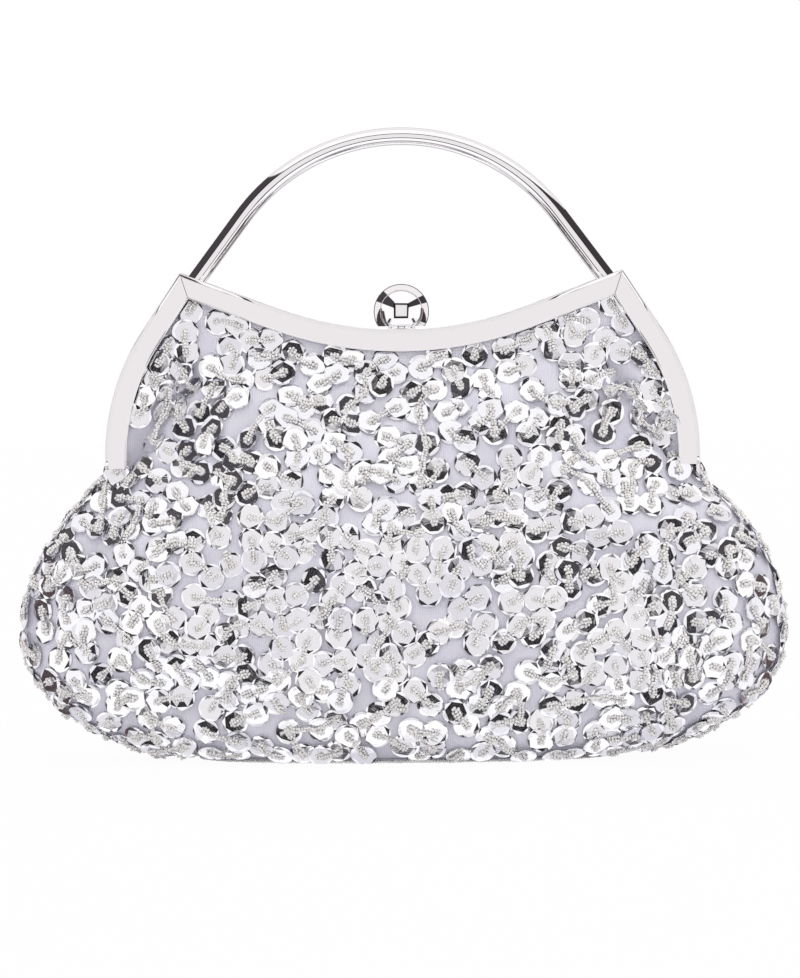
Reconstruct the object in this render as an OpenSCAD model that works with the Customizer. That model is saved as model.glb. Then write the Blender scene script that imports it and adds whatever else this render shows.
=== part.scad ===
// Evening bag with a two-part hinged metal frame, a fixed arched tube handle and a ball clasp.
// X runs along the bag, the front faces -Y, Z is up, and the bag stands on Z = 0.

/* [Pouch] */
// Widest width of the pouch, over its beading
pouch_w = 240; // [205:1:270]
// Deepest front-to-back depth of the pouch, over its beading
pouch_d = 62; // [56:1:76]
// Height of the widest point above the base
belly_z = 40; // [32:1:46]
// Length of the flat base
base_w = 128; // [100:1:150]
// Depth of the flat base
base_d = 40; // [32:1:48]
// Thickness of the beaded fabric
fabric_t = 2.5; // [2:0.1:3]
// Thickness of the fabric where it is gathered into the frame
gathered_t = 1.4; // [1:0.1:1.6]
// Thickness of the lining
lining_t = 0.6; // [0.4:0.1:0.8]
// Thickness of the stiffening board in the base
board_t = 1.5; // [1:0.1:2.5]

/* [Frame] */
// Distance between the two upper corners of the frame
frame_w = 137; // [114:1:165]
// Height of the hinge axis above the base
hinge_z = 87; // [72:1:105]
// Height of the upper corners above the hinge axis
frame_h = 64.4; // [58:0.1:80]
// Slope of the top rail's straight ends, in degrees
top_slope = 20.5; // [17:0.5:24]
// Radius of the dip in the middle of the top rail
top_r = 110; // [90:1:120]
// Lean of the side rails' straight upper ends, in degrees
side_lean = 33.5; // [28:0.5:38]
// Radius of the bend in the side rails
side_r = 72; // [60:1:80]
// Width of the rails' visible face
rail_w = 6.6; // [6.2:0.1:8]
// Depth of each half frame from the closing plane
rail_d = 7; // [6.8:0.1:8.4]
// Thickness of the frame's sheet metal
sheet_t = 1; // [0.8:0.1:1.1]
// Gap between the closed half frames
closing_gap = 0.3; // [0.2:0.05:0.4]

/* [Handle] */
// Length of the handle's straight legs
leg_l = 24.1; // [12:0.1:34]
// Outer diameter of the handle's tube
handle_d = 5.4; // [4.4:0.1:5.6]
// Wall of the handle's tube
handle_wall = 1; // [0.8:0.1:1.2]
// Slope of the handle's straight legs, in degrees
handle_slope = 53.2; // [50:0.1:57]
// Distance from a foot of the handle to the frame's corner, along X
foot_inset = 4.9; // [4:0.1:9]

/* [Clasp] */
// Diameter of the ball knob
ball_d = 17.2; // [15:0.1:18]
// Diameter of the lever's pivot pin
clasp_pin_d = 1.5; // [1.3:0.1:1.6]
// Width of the lever's arm and hook
lever_w = 5; // [4:0.1:5.2]
// Wire diameter of the return spring
spring_wire = 0.4; // [0.3:0.05:0.4]
// Working turns of the return spring
spring_turns = 3; // [2:1:3]

/* [Hinges] */
// Diameter of the hinge rivets' shanks
rivet_d = 2; // [1.6:0.1:2.4]
// Radius of the round hinge lugs
lug_r = 3.2; // [2.8:0.1:3.4]

/* [Fits] */
// Radial clearance of a pin that turns in a hole
running = 0.05; // [0.03:0.01:0.08]
// Gap between pieces that lie beside each other
beside = 0.1; // [0.08:0.01:0.15]
// Room that the opening frame leaves inside the pouch's rim
swing_gap = 2.3; // [2:0.1:4]

/* [Hidden] */

silver = "#d9d9dc";
satin = "#cfcfe0";
beaded = "#e4e4ec";
brown_card = "#8a7a66";

// Frame outline along its outer edge, seen from the front
corner_x = frame_w / 2;
corner_z = hinge_z + frame_h;
top_bend_x = top_r * sin(top_slope);
top_bend_rise = top_r * (1 - cos(top_slope));
dip_z = corner_z - (corner_x - top_bend_x) * tan(top_slope) - top_bend_rise;
lug_h = 4;
side_foot_z = hinge_z + lug_h;
side_straight_h = 7;
side_bend_z = hinge_z + side_straight_h;
side_knee_z = side_bend_z + side_r * sin(side_lean);
side_knee_x = corner_x + (corner_z - side_knee_z) * tan(side_lean);
side_x = side_knee_x + side_r * (1 - cos(side_lean));
miter_turn = (90 + side_lean - top_slope) / 2;
miter_angle = 180 + top_slope + miter_turn;
top_steps = 18;
side_steps = 14;

// Channel section, with a raised bead along the outer edge of its face
bead_w = 1.1;
bead_rise = 0.3;
half_gap = closing_gap / 2;
wall_d = half_gap + sheet_t;
face_d = rail_d - bead_rise;

// Fabric edge and packing cord in the channel
edge_n = 2.6;
cord_n = 2.4;
cord_w = 3.2;
cord_t = 1.2;
cord_d = wall_d + beside;
lining_d = cord_d + cord_t + beside;
panel_d = lining_d + lining_t + beside;

// Pouch rings
rim_drop = 3;
rim_z = hinge_z - rim_drop;
gathered_drop = 2;
gathered_z = hinge_z - gathered_drop;
rim_room = 2.6;
rim_half_w = side_x + rim_room + fabric_t;
gathered_out = 20.5;
rim_half_d = gathered_out + swing_gap + fabric_t;
round_power = 2.4;
ring_columns = 22;
low_rings = 5;
high_rings = 5;

// Base board, and the lining's seam over it
board_end_gap = 6;
board_side_gap = 5;
lining_tuck = 2;
seam_end_gap = 8;
seam_d = 0.4;

// Handle
handle_y = half_gap + (rail_d - half_gap) / 2;
foot_x = corner_x - foot_inset;
foot_z = corner_z - foot_inset * tan(top_slope);
handle_r = (foot_x - leg_l * cos(handle_slope)) / sin(handle_slope);
arc_z = foot_z + leg_l * sin(handle_slope) - handle_r * cos(handle_slope);
arc_overlap = 5;
stud_r = handle_d / 2 - handle_wall;
stud_l = 8;
stud_head_r = stud_r + 0.5;
stud_head_t = 1;
stud_below = 6;

// Clasp, in Y and Z about the middle of the top rail
hair = 0.05;
cut = 1;
pin_r = clasp_pin_d / 2;
knuckle_r = 1.4;
plate_t = 0.5;
plate_back = face_d - sheet_t - hair;
plate_below_pin = 2;
pivot_drop = 3.8;
pivot_y = plate_back - plate_t - beside - knuckle_r;
pivot_z = dip_z - pivot_drop;
lever_t = 1;
arm_z = pivot_z - lever_t / 2;
hook_reach = 2.25;
hook_y = -wall_d - hook_reach;
catch_z = pivot_z - lever_t;
slot_gap = 0.8;
slot_half_w = lever_w / 2 + slot_gap;
slot_back = 5.3;
knob_gap = 0.4;
knob_z = dip_z + knob_gap;
knob_plate_r = 4.2;
knob_plate_t = 0.7;
ball_cut_z = knob_z + knob_plate_t + beside;
ball_flat_drop = 4.5;
ball_z = ball_cut_z + ball_flat_drop;
ball_stud_r = 1.5;
ball_stud_l = 3.6;
cheek_x = 3.2;
cheek_t = 0.8;
cheek_y = 2.6;
catch_t = 0.8;
catch_side = 1.2;
pin_overhang = 0.3;
web_y = wall_d + hair;
link_w = 3.4;
link_y = 2.1;
coil_gap = 0.15;
clasp_room = 5.6;

// Hinge lugs and rivets, in X
lug_t = sheet_t;
outer_lug_x = side_x - lug_t;
inner_lug_x = outer_lug_x - beside - lug_t;
tongue_d = 4.5;
head_r = 2;
head_t = 0.7;

function smooth(t) = let (c = min(1, max(0, t))) c * c * (3 - 2 * c);
function power(v, p) = sign(v) * pow(abs(v), p);

// ---------- shapes shared by several pieces ----------

// A drawing in X and Z, whose own Z comes towards the front
module in_front_view() rotate([90, 0, 0]) children();

module both_sides() {
    children();
    mirror([1, 0, 0]) children();
}

// A closed solid between two grids of points; rows run downward and columns towards +X
module shell(outer, inner) {
    rows = len(outer);
    cols = len(outer[0]);
    n = rows * cols;
    last_r = rows - 1;
    last_c = cols - 1;
    points = concat([for (r = outer) for (p = r) p], [for (r = inner) for (p = r) p]);
    faces = concat(
        [for (i = [0 : last_r - 1], j = [0 : last_c - 1]) let (a = i * cols + j)
            each [[a, a + 1, a + cols + 1], [a, a + cols + 1, a + cols],
                [n + a, n + a + cols + 1, n + a + 1], [n + a, n + a + cols, n + a + cols + 1]]],
        [for (j = [0 : last_c - 1]) let (a = j, b = last_r * cols + j)
            each [[a, n + a, n + a + 1], [a, n + a + 1, a + 1],
                [b, n + b + 1, n + b], [b, b + 1, n + b + 1]]],
        [for (i = [0 : last_r - 1]) let (a = i * cols, b = i * cols + last_c)
            each [[a, n + a + cols, n + a], [a, a + cols, n + a + cols],
                [b, n + b, n + b + cols], [b, n + b + cols, b + cols]]]);
    polyhedron(points, faces);
}

// ---------- pouch ----------

function half_w(z) = z < belly_z
    ? base_w / 2 + (pouch_w - base_w) / 2 * sqrt(1 - pow((belly_z - z) / belly_z, 2))
    : pouch_w / 2 - (pouch_w / 2 - rim_half_w) * pow((z - belly_z) / (rim_z - belly_z), 2);
function half_d(z) = z < belly_z
    ? base_d / 2 + (pouch_d - base_d) / 2 * sqrt(1 - pow((belly_z - z) / belly_z, 2))
    : pouch_d / 2 - (pouch_d / 2 - rim_half_d) * pow((z - belly_z) / (rim_z - belly_z), 1.5);

// Heights of the rings, from the rim down to the base, closer together where the pouch turns under
ring_z = concat([for (k = [0 : high_rings - 1]) rim_z - k / high_rings * (rim_z - belly_z)],
    [for (k = [0 : low_rings]) belly_z * (1 - sin(90 * k / low_rings))]);

function ring(w, d, z) = [for (j = [0 : ring_columns]) let (t = 180 + 180 * j / ring_columns)
    [w * power(cos(t), 2 / round_power), d * power(sin(t), 2 / round_power), z]];

// A ring of the pouch moved inward by some depth of cloth; low rings move up as well
function inset_ring(z, t) = ring(half_w(z) - t, half_d(z) - t, z + t * max(0, 1 - z / belly_z));

module pouch_half(t0, t1) shell([for (z = ring_z) inset_ring(z, t0)], [for (z = ring_z) inset_ring(z, t1)]);

module front_panel() color(beaded) pouch_half(0, fabric_t);
module back_panel() color(beaded) mirror([0, 1, 0]) front_panel();

module base_plate(w, d, z, t) translate([0, 0, z]) linear_extrude(t)
    polygon([for (j = [0 : 2 * ring_columns - 1]) let (a = 180 * j / ring_columns)
        [w * power(cos(a), 2 / round_power), d * power(sin(a), 2 / round_power)]]);

module bottom_panel() color(beaded)
    base_plate(base_w / 2 - fabric_t - beside, base_d / 2 - fabric_t - beside, 0, fabric_t - beside);
module base_board() color(brown_card)
    base_plate(base_w / 2 - board_end_gap, base_d / 2 - board_side_gap, fabric_t, board_t);

// The lining turns in over the board, and its two halves nearly meet along the bag's middle
module lining_half() {
    t0 = fabric_t + beside;
    t1 = t0 + lining_t;
    low_z = fabric_t + board_t + beside;
    high_z = low_z + lining_t;
    floor_w = base_w / 2 - board_end_gap - lining_tuck;
    floor_d = base_d / 2 - board_side_gap - lining_tuck;
    seam_w = floor_w - seam_end_gap;
    rings = [for (k = [0 : len(ring_z) - 2]) ring_z[k]];
    function floor_rings(z) = [ring(floor_w, floor_d, z), ring(seam_w, seam_d, z)];
    shell(concat([for (z = rings) inset_ring(z, t0)], floor_rings(low_z)),
        concat([for (z = rings) inset_ring(z, t1)], floor_rings(high_z)));
}
module front_lining() color(satin) lining_half();
module back_lining() color(satin) mirror([0, 1, 0]) lining_half();

// ---------- cloth gathered into the frame ----------

function top_edge_z(x) = abs(x) < top_bend_x
    ? dip_z + top_r - sqrt(top_r * top_r - x * x)
    : dip_z + top_bend_rise + (abs(x) - top_bend_x) * tan(top_slope);
function side_edge_x(z) = z > side_knee_z
    ? corner_x + (corner_z - z) * tan(side_lean)
    : z > side_bend_z ? side_x - side_r + sqrt(side_r * side_r - pow(z - side_bend_z, 2)) : side_x;

gathered_rows = 8;
gathered_columns = 22;
hem_x = corner_point(edge_n)[0];
hem_z = top_edge_z(hem_x) - edge_n / cos(top_slope);

// How far the cloth bellies forward: nothing in the channel, most at the middle of the lower edge
flat_end = 0.93;
belly_run = 0.55;
flat_hem = 0.12;
function belly_out(u, v) =
    smooth((flat_end - abs(u)) / belly_run) * smooth((v - flat_hem) / (1 - flat_hem));

function gathered_point(u, v, d, out) =
    let (side_z = hem_z + (gathered_z - hem_z) * v,
        x = u * (side_edge_x(side_z) - edge_n / cos(side_lean)),
        top_z = top_edge_z(u * hem_x) - edge_n / cos(top_slope))
    [x, -(d + out * belly_out(u, v)), top_z + (gathered_z - top_z) * v];

function gathered_grid(d, out) = [for (i = [0 : gathered_rows])
    [for (j = [0 : gathered_columns])
        gathered_point(2 * j / gathered_columns - 1, i / gathered_rows, d, out)]];

module gathered_cloth(d, t) difference() {
    out = gathered_out - panel_d - gathered_t;
    shell(gathered_grid(d + t, out), gathered_grid(d, out));
    translate([-clasp_room, -rail_d, dip_z - rail_w - 2 * beside])
        cube([2 * clasp_room, 2 * rail_d, rail_w]);
}
module front_panel_top() color(beaded) gathered_cloth(panel_d, gathered_t);
module back_panel_top() color(beaded) mirror([0, 1, 0]) gathered_cloth(panel_d, gathered_t);
module front_lining_top() color(satin) gathered_cloth(lining_d, lining_t);
module back_lining_top() color(satin) mirror([0, 1, 0]) gathered_cloth(lining_d, lining_t);

// ---------- frame ----------

// The outline moved inward by n: the corner, the top rail and the right side rail
function corner_point(n) =
    [corner_x + n / sin(miter_turn) * cos(miter_angle), corner_z + n / sin(miter_turn) * sin(miter_angle)];
function top_line(n) = let (c = corner_point(n)) concat([[-c[0], c[1]]],
    [for (k = [0 : top_steps]) let (a = top_slope * (2 * k / top_steps - 1))
        [(top_r + n) * sin(a), dip_z + top_r - (top_r + n) * cos(a)]],
    [c]);
function side_line(n) = concat([corner_point(n)],
    [for (k = [0 : side_steps]) let (a = side_lean * (1 - k / side_steps))
        [side_x - side_r + (side_r - n) * cos(a), side_bend_z + (side_r - n) * sin(a)]],
    [[side_x - n, side_foot_z]]);

// A strip between two lines, reaching from depth d0 to depth d1 in front of the closing plane
module band(a, b, d0, d1) translate([0, 0, d0]) linear_extrude(d1 - d0)
    polygon(concat(a, [for (i = [len(b) - 1 : -1 : 0]) b[i]]));

// The bent channel: its outer wall, its bead, its face and its inner wall
module rail(edge, inside, bead, lip) {
    band(edge, inside, half_gap, face_d);
    band(edge, bead, face_d - sheet_t, rail_d);
    band(edge, lip, face_d - sheet_t, face_d);
    band(edge, lip, half_gap, wall_d);
}
module top_rail() rail(top_line(0), top_line(sheet_t), top_line(bead_w), top_line(rail_w));
module side_rail() rail(side_line(0), side_line(sheet_t), side_line(bead_w), side_line(rail_w));

module x_hole(r, x, l, y, z) translate([x, y, z]) rotate([0, 90, 0]) cylinder(r = r, h = l, $fn = 48);

// The outer hinge lug carries on the front rail's outer wall
module front_side_rail() difference() {
    union() {
        in_front_view() side_rail();
        x_hole(lug_r, outer_lug_x, lug_t, 0, hinge_z);
        translate([outer_lug_x, -tongue_d, hinge_z]) cube([lug_t, tongue_d - half_gap, lug_h + sheet_t]);
    }
    x_hole(rivet_d / 2, inner_lug_x - lug_t, 4 * lug_t, 0, hinge_z);
}

// The inner lug is a tongue joined to the inside of the back rail's outer wall
module back_side_rail() difference() {
    union() {
        mirror([0, 1, 0]) in_front_view() side_rail();
        x_hole(lug_r, inner_lug_x, lug_t, 0, hinge_z);
        translate([inner_lug_x, half_gap, hinge_z]) cube([lug_t, tongue_d - half_gap, 2 * lug_h]);
        translate([inner_lug_x, half_gap, side_foot_z + beside])
            cube([lug_t + 2 * beside, tongue_d - half_gap, lug_h - beside]);
    }
    x_hole(rivet_d / 2 + running, inner_lug_x - lug_t, 4 * lug_t, 0, hinge_z);
}

module front_right_rail() color(silver) front_side_rail();
module front_left_rail() color(silver) mirror([1, 0, 0]) front_side_rail();
module back_right_rail() color(silver) back_side_rail();
module back_left_rail() color(silver) mirror([1, 0, 0]) back_side_rail();

module front_top_rail() color(silver) difference() {
    in_front_view() top_rail();
    translate([-slot_half_w, -wall_d - 2 * beside, catch_z])
        cube([2 * slot_half_w, wall_d + cut, dip_z - sheet_t - beside - catch_z]);
}

module back_top_rail() color(silver) difference() {
    mirror([0, 1, 0]) in_front_view() top_rail();
    translate([-slot_half_w, -cut, dip_z - sheet_t - cut])
        cube([2 * slot_half_w, slot_back + cut, sheet_t + 3 * cut]);
    translate([-slot_half_w, -cut, dip_z - rail_w - cut])
        cube([2 * slot_half_w, wall_d + cut + 2 * beside, rail_w + 2 * cut]);
    both_sides() on_leg(-stud_below / 2) cylinder(r = stud_r + running, h = stud_below, $fn = 48);
}

module packing_cord() difference() {
    inner_n = cord_n + cord_w;
    union() {
        band(top_line(cord_n), top_line(inner_n), cord_d, cord_d + cord_t);
        both_sides() band(side_line(cord_n), side_line(inner_n), cord_d, cord_d + cord_t);
    }
    translate([-clasp_room, dip_z - 2 * rail_w, 0]) cube([2 * clasp_room, 3 * rail_w, rail_d]);
}
module front_packing_cord() color("ivory") in_front_view() packing_cord();
module back_packing_cord() color("ivory") mirror([0, 1, 0]) in_front_view() packing_cord();

module hinge_rivets() color(silver) both_sides() {
    inside = inner_lug_x - beside / 2;
    x_hole(rivet_d / 2, inside - head_t, side_x - inside + 2 * head_t + beside / 2, 0, hinge_z);
    x_hole(head_r, inside - head_t, head_t, 0, hinge_z);
    x_hole(head_r, side_x + beside / 2, head_t, 0, hinge_z);
}

// ---------- handle ----------

// The right leg's axis, with its own Z upward from the foot
module on_leg(from) translate([foot_x, handle_y, foot_z]) rotate([0, handle_slope - 90, 0])
    translate([0, 0, from]) children();

module tube_ring() difference() {
    circle(r = handle_d / 2, $fn = 48);
    circle(r = handle_d / 2 - handle_wall, $fn = 48);
}

// Everything below the top rail's straight end
module under_top_leg(drop) translate([corner_x, 0, corner_z]) rotate([0, -top_slope, 0])
    translate([-corner_x, -rail_d, -frame_h - drop]) cube([frame_w, 3 * rail_d, frame_h]);

module handle_half() difference() {
    translate([0, handle_y, arc_z]) rotate([90, 0, 0]) rotate([0, 0, 90 - handle_slope]) {
        rotate_extrude(angle = handle_slope + arc_overlap, $fn = 120) translate([handle_r, 0]) tube_ring();
        translate([handle_r, 0, 0]) rotate([90, 0, 0]) linear_extrude(leg_l + handle_d) tube_ring();
    }
    under_top_leg(0);
    translate([-frame_w, -rail_d, 0]) cube([frame_w, 3 * rail_d, 3 * corner_z]);
}
module handle_tube() color(silver) both_sides() handle_half();

module handle_studs() color(silver) both_sides() {
    difference() {
        on_leg(-stud_below) cylinder(r = stud_r, h = stud_l + stud_below, $fn = 48);
        under_top_leg(sheet_t + stud_head_t / 2);
    }
    translate([foot_x, handle_y, foot_z]) rotate([0, -top_slope, 0])
        translate([(sheet_t + stud_head_t / 2) * tan(90 - handle_slope - top_slope), 0, -sheet_t - stud_head_t])
        cylinder(r = stud_head_r, h = stud_head_t, $fn = 48);
}

// ---------- clasp ----------

module clasp_ball() color(silver) difference() {
    translate([0, 0, ball_z]) sphere(r = ball_d / 2, $fn = 96);
    translate([-ball_d, -ball_d, ball_cut_z - ball_d]) cube([2 * ball_d, 2 * ball_d, ball_d]);
    translate([0, 0, ball_cut_z - cut])
        cylinder(r = ball_stud_r, h = ball_stud_l + cut + 2 * beside, $fn = 48);
}

// One sheet-metal lever: a knuckle on the pin, an arm with a hook, and a web up to the knob's plate
module clasp_lever() color(silver) difference() {
    left = -lever_w / 2;
    web_top = knob_z + knob_plate_t / 2;
    hook_low = catch_z - lever_t;
    union() {
        x_hole(knuckle_r, left, link_w, pivot_y, pivot_z);
        translate([left, link_y, arm_z]) cube([link_w, pivot_y - link_y, lever_t]);
        translate([left, hook_y, arm_z]) cube([lever_w, web_y + lever_t - hook_y, lever_t]);
        translate([left, hook_y, hook_low]) cube([lever_w, lever_t, arm_z + lever_t / 2 - hook_low]);
        translate([left, web_y, arm_z]) cube([lever_w, lever_t, web_top - arm_z]);
        translate([0, 0, knob_z]) cylinder(r = knob_plate_r, h = knob_plate_t, $fn = 48);
        translate([0, 0, knob_z]) cylinder(r = ball_stud_r, h = knob_plate_t + beside + ball_stud_l, $fn = 48);
    }
    x_hole(pin_r + running, -lever_w, 2 * lever_w, pivot_y, pivot_z);
}

module clasp_pin() color(silver) {
    half_l = cheek_x + cheek_t + pin_overhang;
    x_hole(pin_r, -half_l, 2 * half_l, pivot_y, pivot_z);
}

module clasp_bracket() color(silver) difference() {
    low = pivot_z - plate_below_pin;
    high = dip_z - sheet_t - 2 * beside;
    outside = cheek_x + cheek_t;
    union() {
        both_sides() translate([cheek_x, cheek_y, low]) cube([cheek_t, plate_back - cheek_y, high - low]);
        translate([-outside, plate_back - plate_t, low]) cube([2 * outside, plate_t, high - low]);
    }
    x_hole(pin_r, -2 * cheek_x, 4 * cheek_x, pivot_y, pivot_z);
}

// The return spring: a leg behind the web, turns around the pin, and a leg under the rail's top wall
module clasp_spring() color(silver) {
    wire_r = spring_wire / 2;
    coil_r = pin_r + running + coil_gap + wire_r;
    coil_x = link_w - lever_w / 2 + coil_gap + wire_r;
    pitch = (cheek_x - coil_gap - wire_r - coil_x) / spring_turns;
    steps = 12;
    sides = 6;
    total = spring_turns * steps;
    leg_top = dip_z - sheet_t - 2 * wire_r;
    path = concat([[coil_x, web_y + lever_t + wire_r + hair / 2, leg_top - wire_r]],
        [for (k = [0 : total]) let (a = 90 + 360 * k / steps)
            [coil_x + pitch * k / steps, pivot_y + coil_r * cos(a), pivot_z + coil_r * sin(a)]],
        [[coil_x + pitch * spring_turns, cheek_y, leg_top]]);
    last = len(path) - 1;
    sweep = [for (k = [0 : last])
        let (t = path[min(last, k + 1)] - path[max(0, k - 1)],
            f = t / norm(t), s = cross(f, [1, 0, 0]) / norm(cross(f, [1, 0, 0])), c = cross(s, f))
        [for (j = [0 : sides - 1]) let (a = 360 * j / sides) path[k] + wire_r * (cos(a) * s + sin(a) * c)]];
    polyhedron([for (r = sweep) for (p = r) p], concat(
        [for (k = [0 : last - 1], j = [0 : sides - 1]) let (a = k * sides + j, b = k * sides + (j + 1) % sides)
            each [[a, b, b + sides], [a, b + sides, a + sides]]],
        [[for (j = [sides - 1 : -1 : 0]) j]], [[for (j = [0 : sides - 1]) last * sides + j]]));
}

module catch_plate() color(silver) {
    low = dip_z - rail_w + 2 * plate_t - catch_t / 2;
    high = dip_z - sheet_t - pin_overhang;
    front = -wall_d - hair - catch_t;
    translate([-slot_half_w - catch_side, front, low])
        cube([2 * (slot_half_w + catch_side), catch_t, catch_z - low]);
    both_sides() translate([slot_half_w, front, low]) cube([catch_side, catch_t, high - low]);
}

front_panel();
back_panel();
bottom_panel();
base_board();
front_lining();
back_lining();
front_panel_top();
back_panel_top();
front_lining_top();
back_lining_top();
front_top_rail();
front_left_rail();
front_right_rail();
front_packing_cord();
back_top_rail();
back_left_rail();
back_right_rail();
back_packing_cord();
hinge_rivets();
handle_tube();
handle_studs();
clasp_ball();
clasp_lever();
clasp_pin();
clasp_bracket();
clasp_spring();
catch_plate();
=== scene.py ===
"""Looks of a sequined evening bag: gathered satin, cup sequins, lined seed beads and a plated hinged frame.

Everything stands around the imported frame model. Lengths are in millimetres and turn into metres as each
mesh is made. Heights of bumps are in metres, as the shaders read them.
"""

import math

import bmesh
import bpy
import numpy as np
from mathutils import Matrix, Vector


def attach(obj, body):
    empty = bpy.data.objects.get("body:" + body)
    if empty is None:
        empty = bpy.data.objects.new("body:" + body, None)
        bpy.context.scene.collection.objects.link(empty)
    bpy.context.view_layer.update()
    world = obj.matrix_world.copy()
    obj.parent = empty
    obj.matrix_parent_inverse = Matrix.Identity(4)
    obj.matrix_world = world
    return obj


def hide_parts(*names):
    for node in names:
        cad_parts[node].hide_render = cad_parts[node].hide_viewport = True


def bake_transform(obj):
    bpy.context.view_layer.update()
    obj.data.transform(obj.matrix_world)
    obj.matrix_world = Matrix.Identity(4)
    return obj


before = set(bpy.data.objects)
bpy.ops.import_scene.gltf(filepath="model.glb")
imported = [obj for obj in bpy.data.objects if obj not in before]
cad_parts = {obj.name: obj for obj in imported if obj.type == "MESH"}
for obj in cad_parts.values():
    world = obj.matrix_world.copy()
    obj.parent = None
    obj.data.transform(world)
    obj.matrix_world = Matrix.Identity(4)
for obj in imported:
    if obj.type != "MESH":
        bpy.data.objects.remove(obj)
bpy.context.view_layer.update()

bl_info = {
    "name": "Sequined Evening Bag",
    "version": (1, 0, 0),
    "blender": (4, 5, 0),
    "location": "3D View > Sidebar > Evening Bag",
    "description": "Builds the cloth, beading and plating of an evening bag around its frame model",
    "category": "Object",
}

MM = 0.001

# Frame outline, on its outer edge. The top falls from the upper corner into a round dip, and the side leans
# out from the corner to the knee, where it bends into an upright foot.
CORNER_X, CORNER_Z = 68.5, 151.4
CORNER = np.array([CORNER_X, CORNER_Z])
TOP_SLOPE = math.radians(20.5)
DIP_R = 110.0
DIP_END_X = DIP_R * math.sin(TOP_SLOPE)
DIP_Z = round(CORNER_Z - (CORNER_X - DIP_END_X) * math.tan(TOP_SLOPE) - DIP_R * (1 - math.cos(TOP_SLOPE)), 3)
LEAN = math.radians(33.5)
SIDE_R = 72.0
BEND_Z = 94.0
KNEE_Z = BEND_Z + SIDE_R * math.sin(LEAN)
SIDE_X = round(CORNER_X + (CORNER_Z - KNEE_Z) * math.tan(LEAN) + SIDE_R * (1 - math.cos(LEAN)), 3)
RAIL_FOOT_Z = 91.0
RAIL_W = 6.6

# The cloth's hem inside the frame: inset from the outline, and depth
HEM_N = 2.6
HEM_D = 4.0

# Pouch, over its beading: its box, its flat base, its widest height and its rim under the frame
POUCH_W = 240.0
POUCH_D = 62.0
BASE_W = 128.0
BASE_D = 40.0
BELLY_Z = 40.0
RIM_Z = 84.0
RIM_HALF_W = 97.25

# How square the pouch's and the base's rounding is: 2 is an ellipse
ROUND_POWER = 2.4

# The cloth: its thickness, its grid, and the height where its rows turn level
CLOTH_T = 0.8
TURN_Z = 86.0
HEM_ROWS = 36
POUCH_ROWS = 26
UNDER_ROWS = 22
CLOTH_COLUMNS = 150

# Sequins and beads: the steepest lean of a sequin, as a sine, and the least height over the ground
MOST_LEAN = 0.27
LOWEST = 0.15


def smooth(t):
    """0 to 1 as t goes from 0 to 1, with level ends."""
    c = np.clip(t, 0, 1)
    return c * c * (3 - 2 * c)


def mix(a, b, t):
    """The value a share t of the way from a to b."""
    return a + (b - a) * t


# ---------- the cloth's shape ----------


def top_edge_z(x):
    """Height of the frame's top edge."""
    x = np.abs(x)
    dip = DIP_Z + DIP_R - np.sqrt(DIP_R**2 - np.minimum(x, DIP_END_X) ** 2)
    return dip + np.maximum(0, x - DIP_END_X) * math.tan(TOP_SLOPE)


def side_edge_x(z):
    """Distance of the frame's side edge from the middle."""
    bend = SIDE_X - SIDE_R + np.sqrt(SIDE_R**2 - np.clip(z - BEND_Z, 0, KNEE_Z - BEND_Z) ** 2)
    return np.where(z > KNEE_Z, CORNER[0] + (CORNER[1] - z) * math.tan(LEAN), bend)


def under_belly(base, belly, z):
    """Half a size of the pouch below its belly, where it rounds in to the base."""
    return base / 2 + (belly - base) / 2 * np.sqrt(1 - (np.clip(BELLY_Z - z, 0, BELLY_Z) / BELLY_Z) ** 2)


def pouch_half_w(z):
    """Half the pouch's width."""
    rise = np.clip((z - BELLY_Z) / (RIM_Z - BELLY_Z), 0, None)
    over = POUCH_W / 2 - (POUCH_W / 2 - RIM_HALF_W) * rise**2
    return np.where(z < BELLY_Z, under_belly(BASE_W, POUCH_W, z), over)


# Depth of the cloth's front over its middle line, by height
PROFILE_Z = np.array([40.0, 55, 70, 86, 96, 105, 113, 119, 124, 128])
PROFILE_D = np.array([31.0, 30.3, 28.3, 24.2, 20.3, 16.0, 11.6, 8.2, 5.6, 4.4])


def middle_depth(z):
    """Depth of the cloth's front over its middle line, softened between the profile's points."""
    heights = np.arange(30.0, 136.0)
    raw = np.interp(heights, PROFILE_Z, PROFILE_D)
    spread, reach = 3.0, 9
    kernel = np.exp(-0.5 * (np.arange(-reach, reach + 1) / spread) ** 2)
    soft = np.convolve(np.pad(raw, reach, mode="edge"), kernel / kernel.sum(), mode="valid")
    return np.where(z < BELLY_Z, under_belly(BASE_D, POUCH_D, z), np.interp(z, heights, soft))


def inner_corner(n):
    """The frame's upper corner moved inward by n."""
    turn = (math.radians(90) + LEAN - TOP_SLOPE) / 2
    way = math.pi + TOP_SLOPE + turn
    return CORNER + n / math.sin(turn) * np.array([math.cos(way), math.sin(way)])


def row_heights():
    """Heights of the cloth's rows at its side, from the hem down to the base."""
    hem_z = inner_corner(HEM_N)[1]
    upper = np.linspace(hem_z, TURN_Z, HEM_ROWS, endpoint=False)
    middle = np.linspace(TURN_Z, BELLY_Z, POUCH_ROWS, endpoint=False)
    under = BELLY_Z * (1 - np.sin(np.linspace(0, math.pi / 2, UNDER_ROWS)))
    return upper, np.concatenate([middle, under])


# Where the cloth leaves the rail and where it grows round, as its rows go down
LEAVES_RAIL_Z, LEAVES_OVER = 95.5, 17.0
ROUNDS_Z, ROUNDS_OVER = 102.0, 30.0
# The middle of a row is flat, and falls back over this share of the half width at each side
FLAT_END, FALL_SHARE = 0.98, 0.6
# How even the columns are: 0 crowds them at the sides, and 1 spreads them evenly
EVEN_COLUMNS = 0.45


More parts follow.
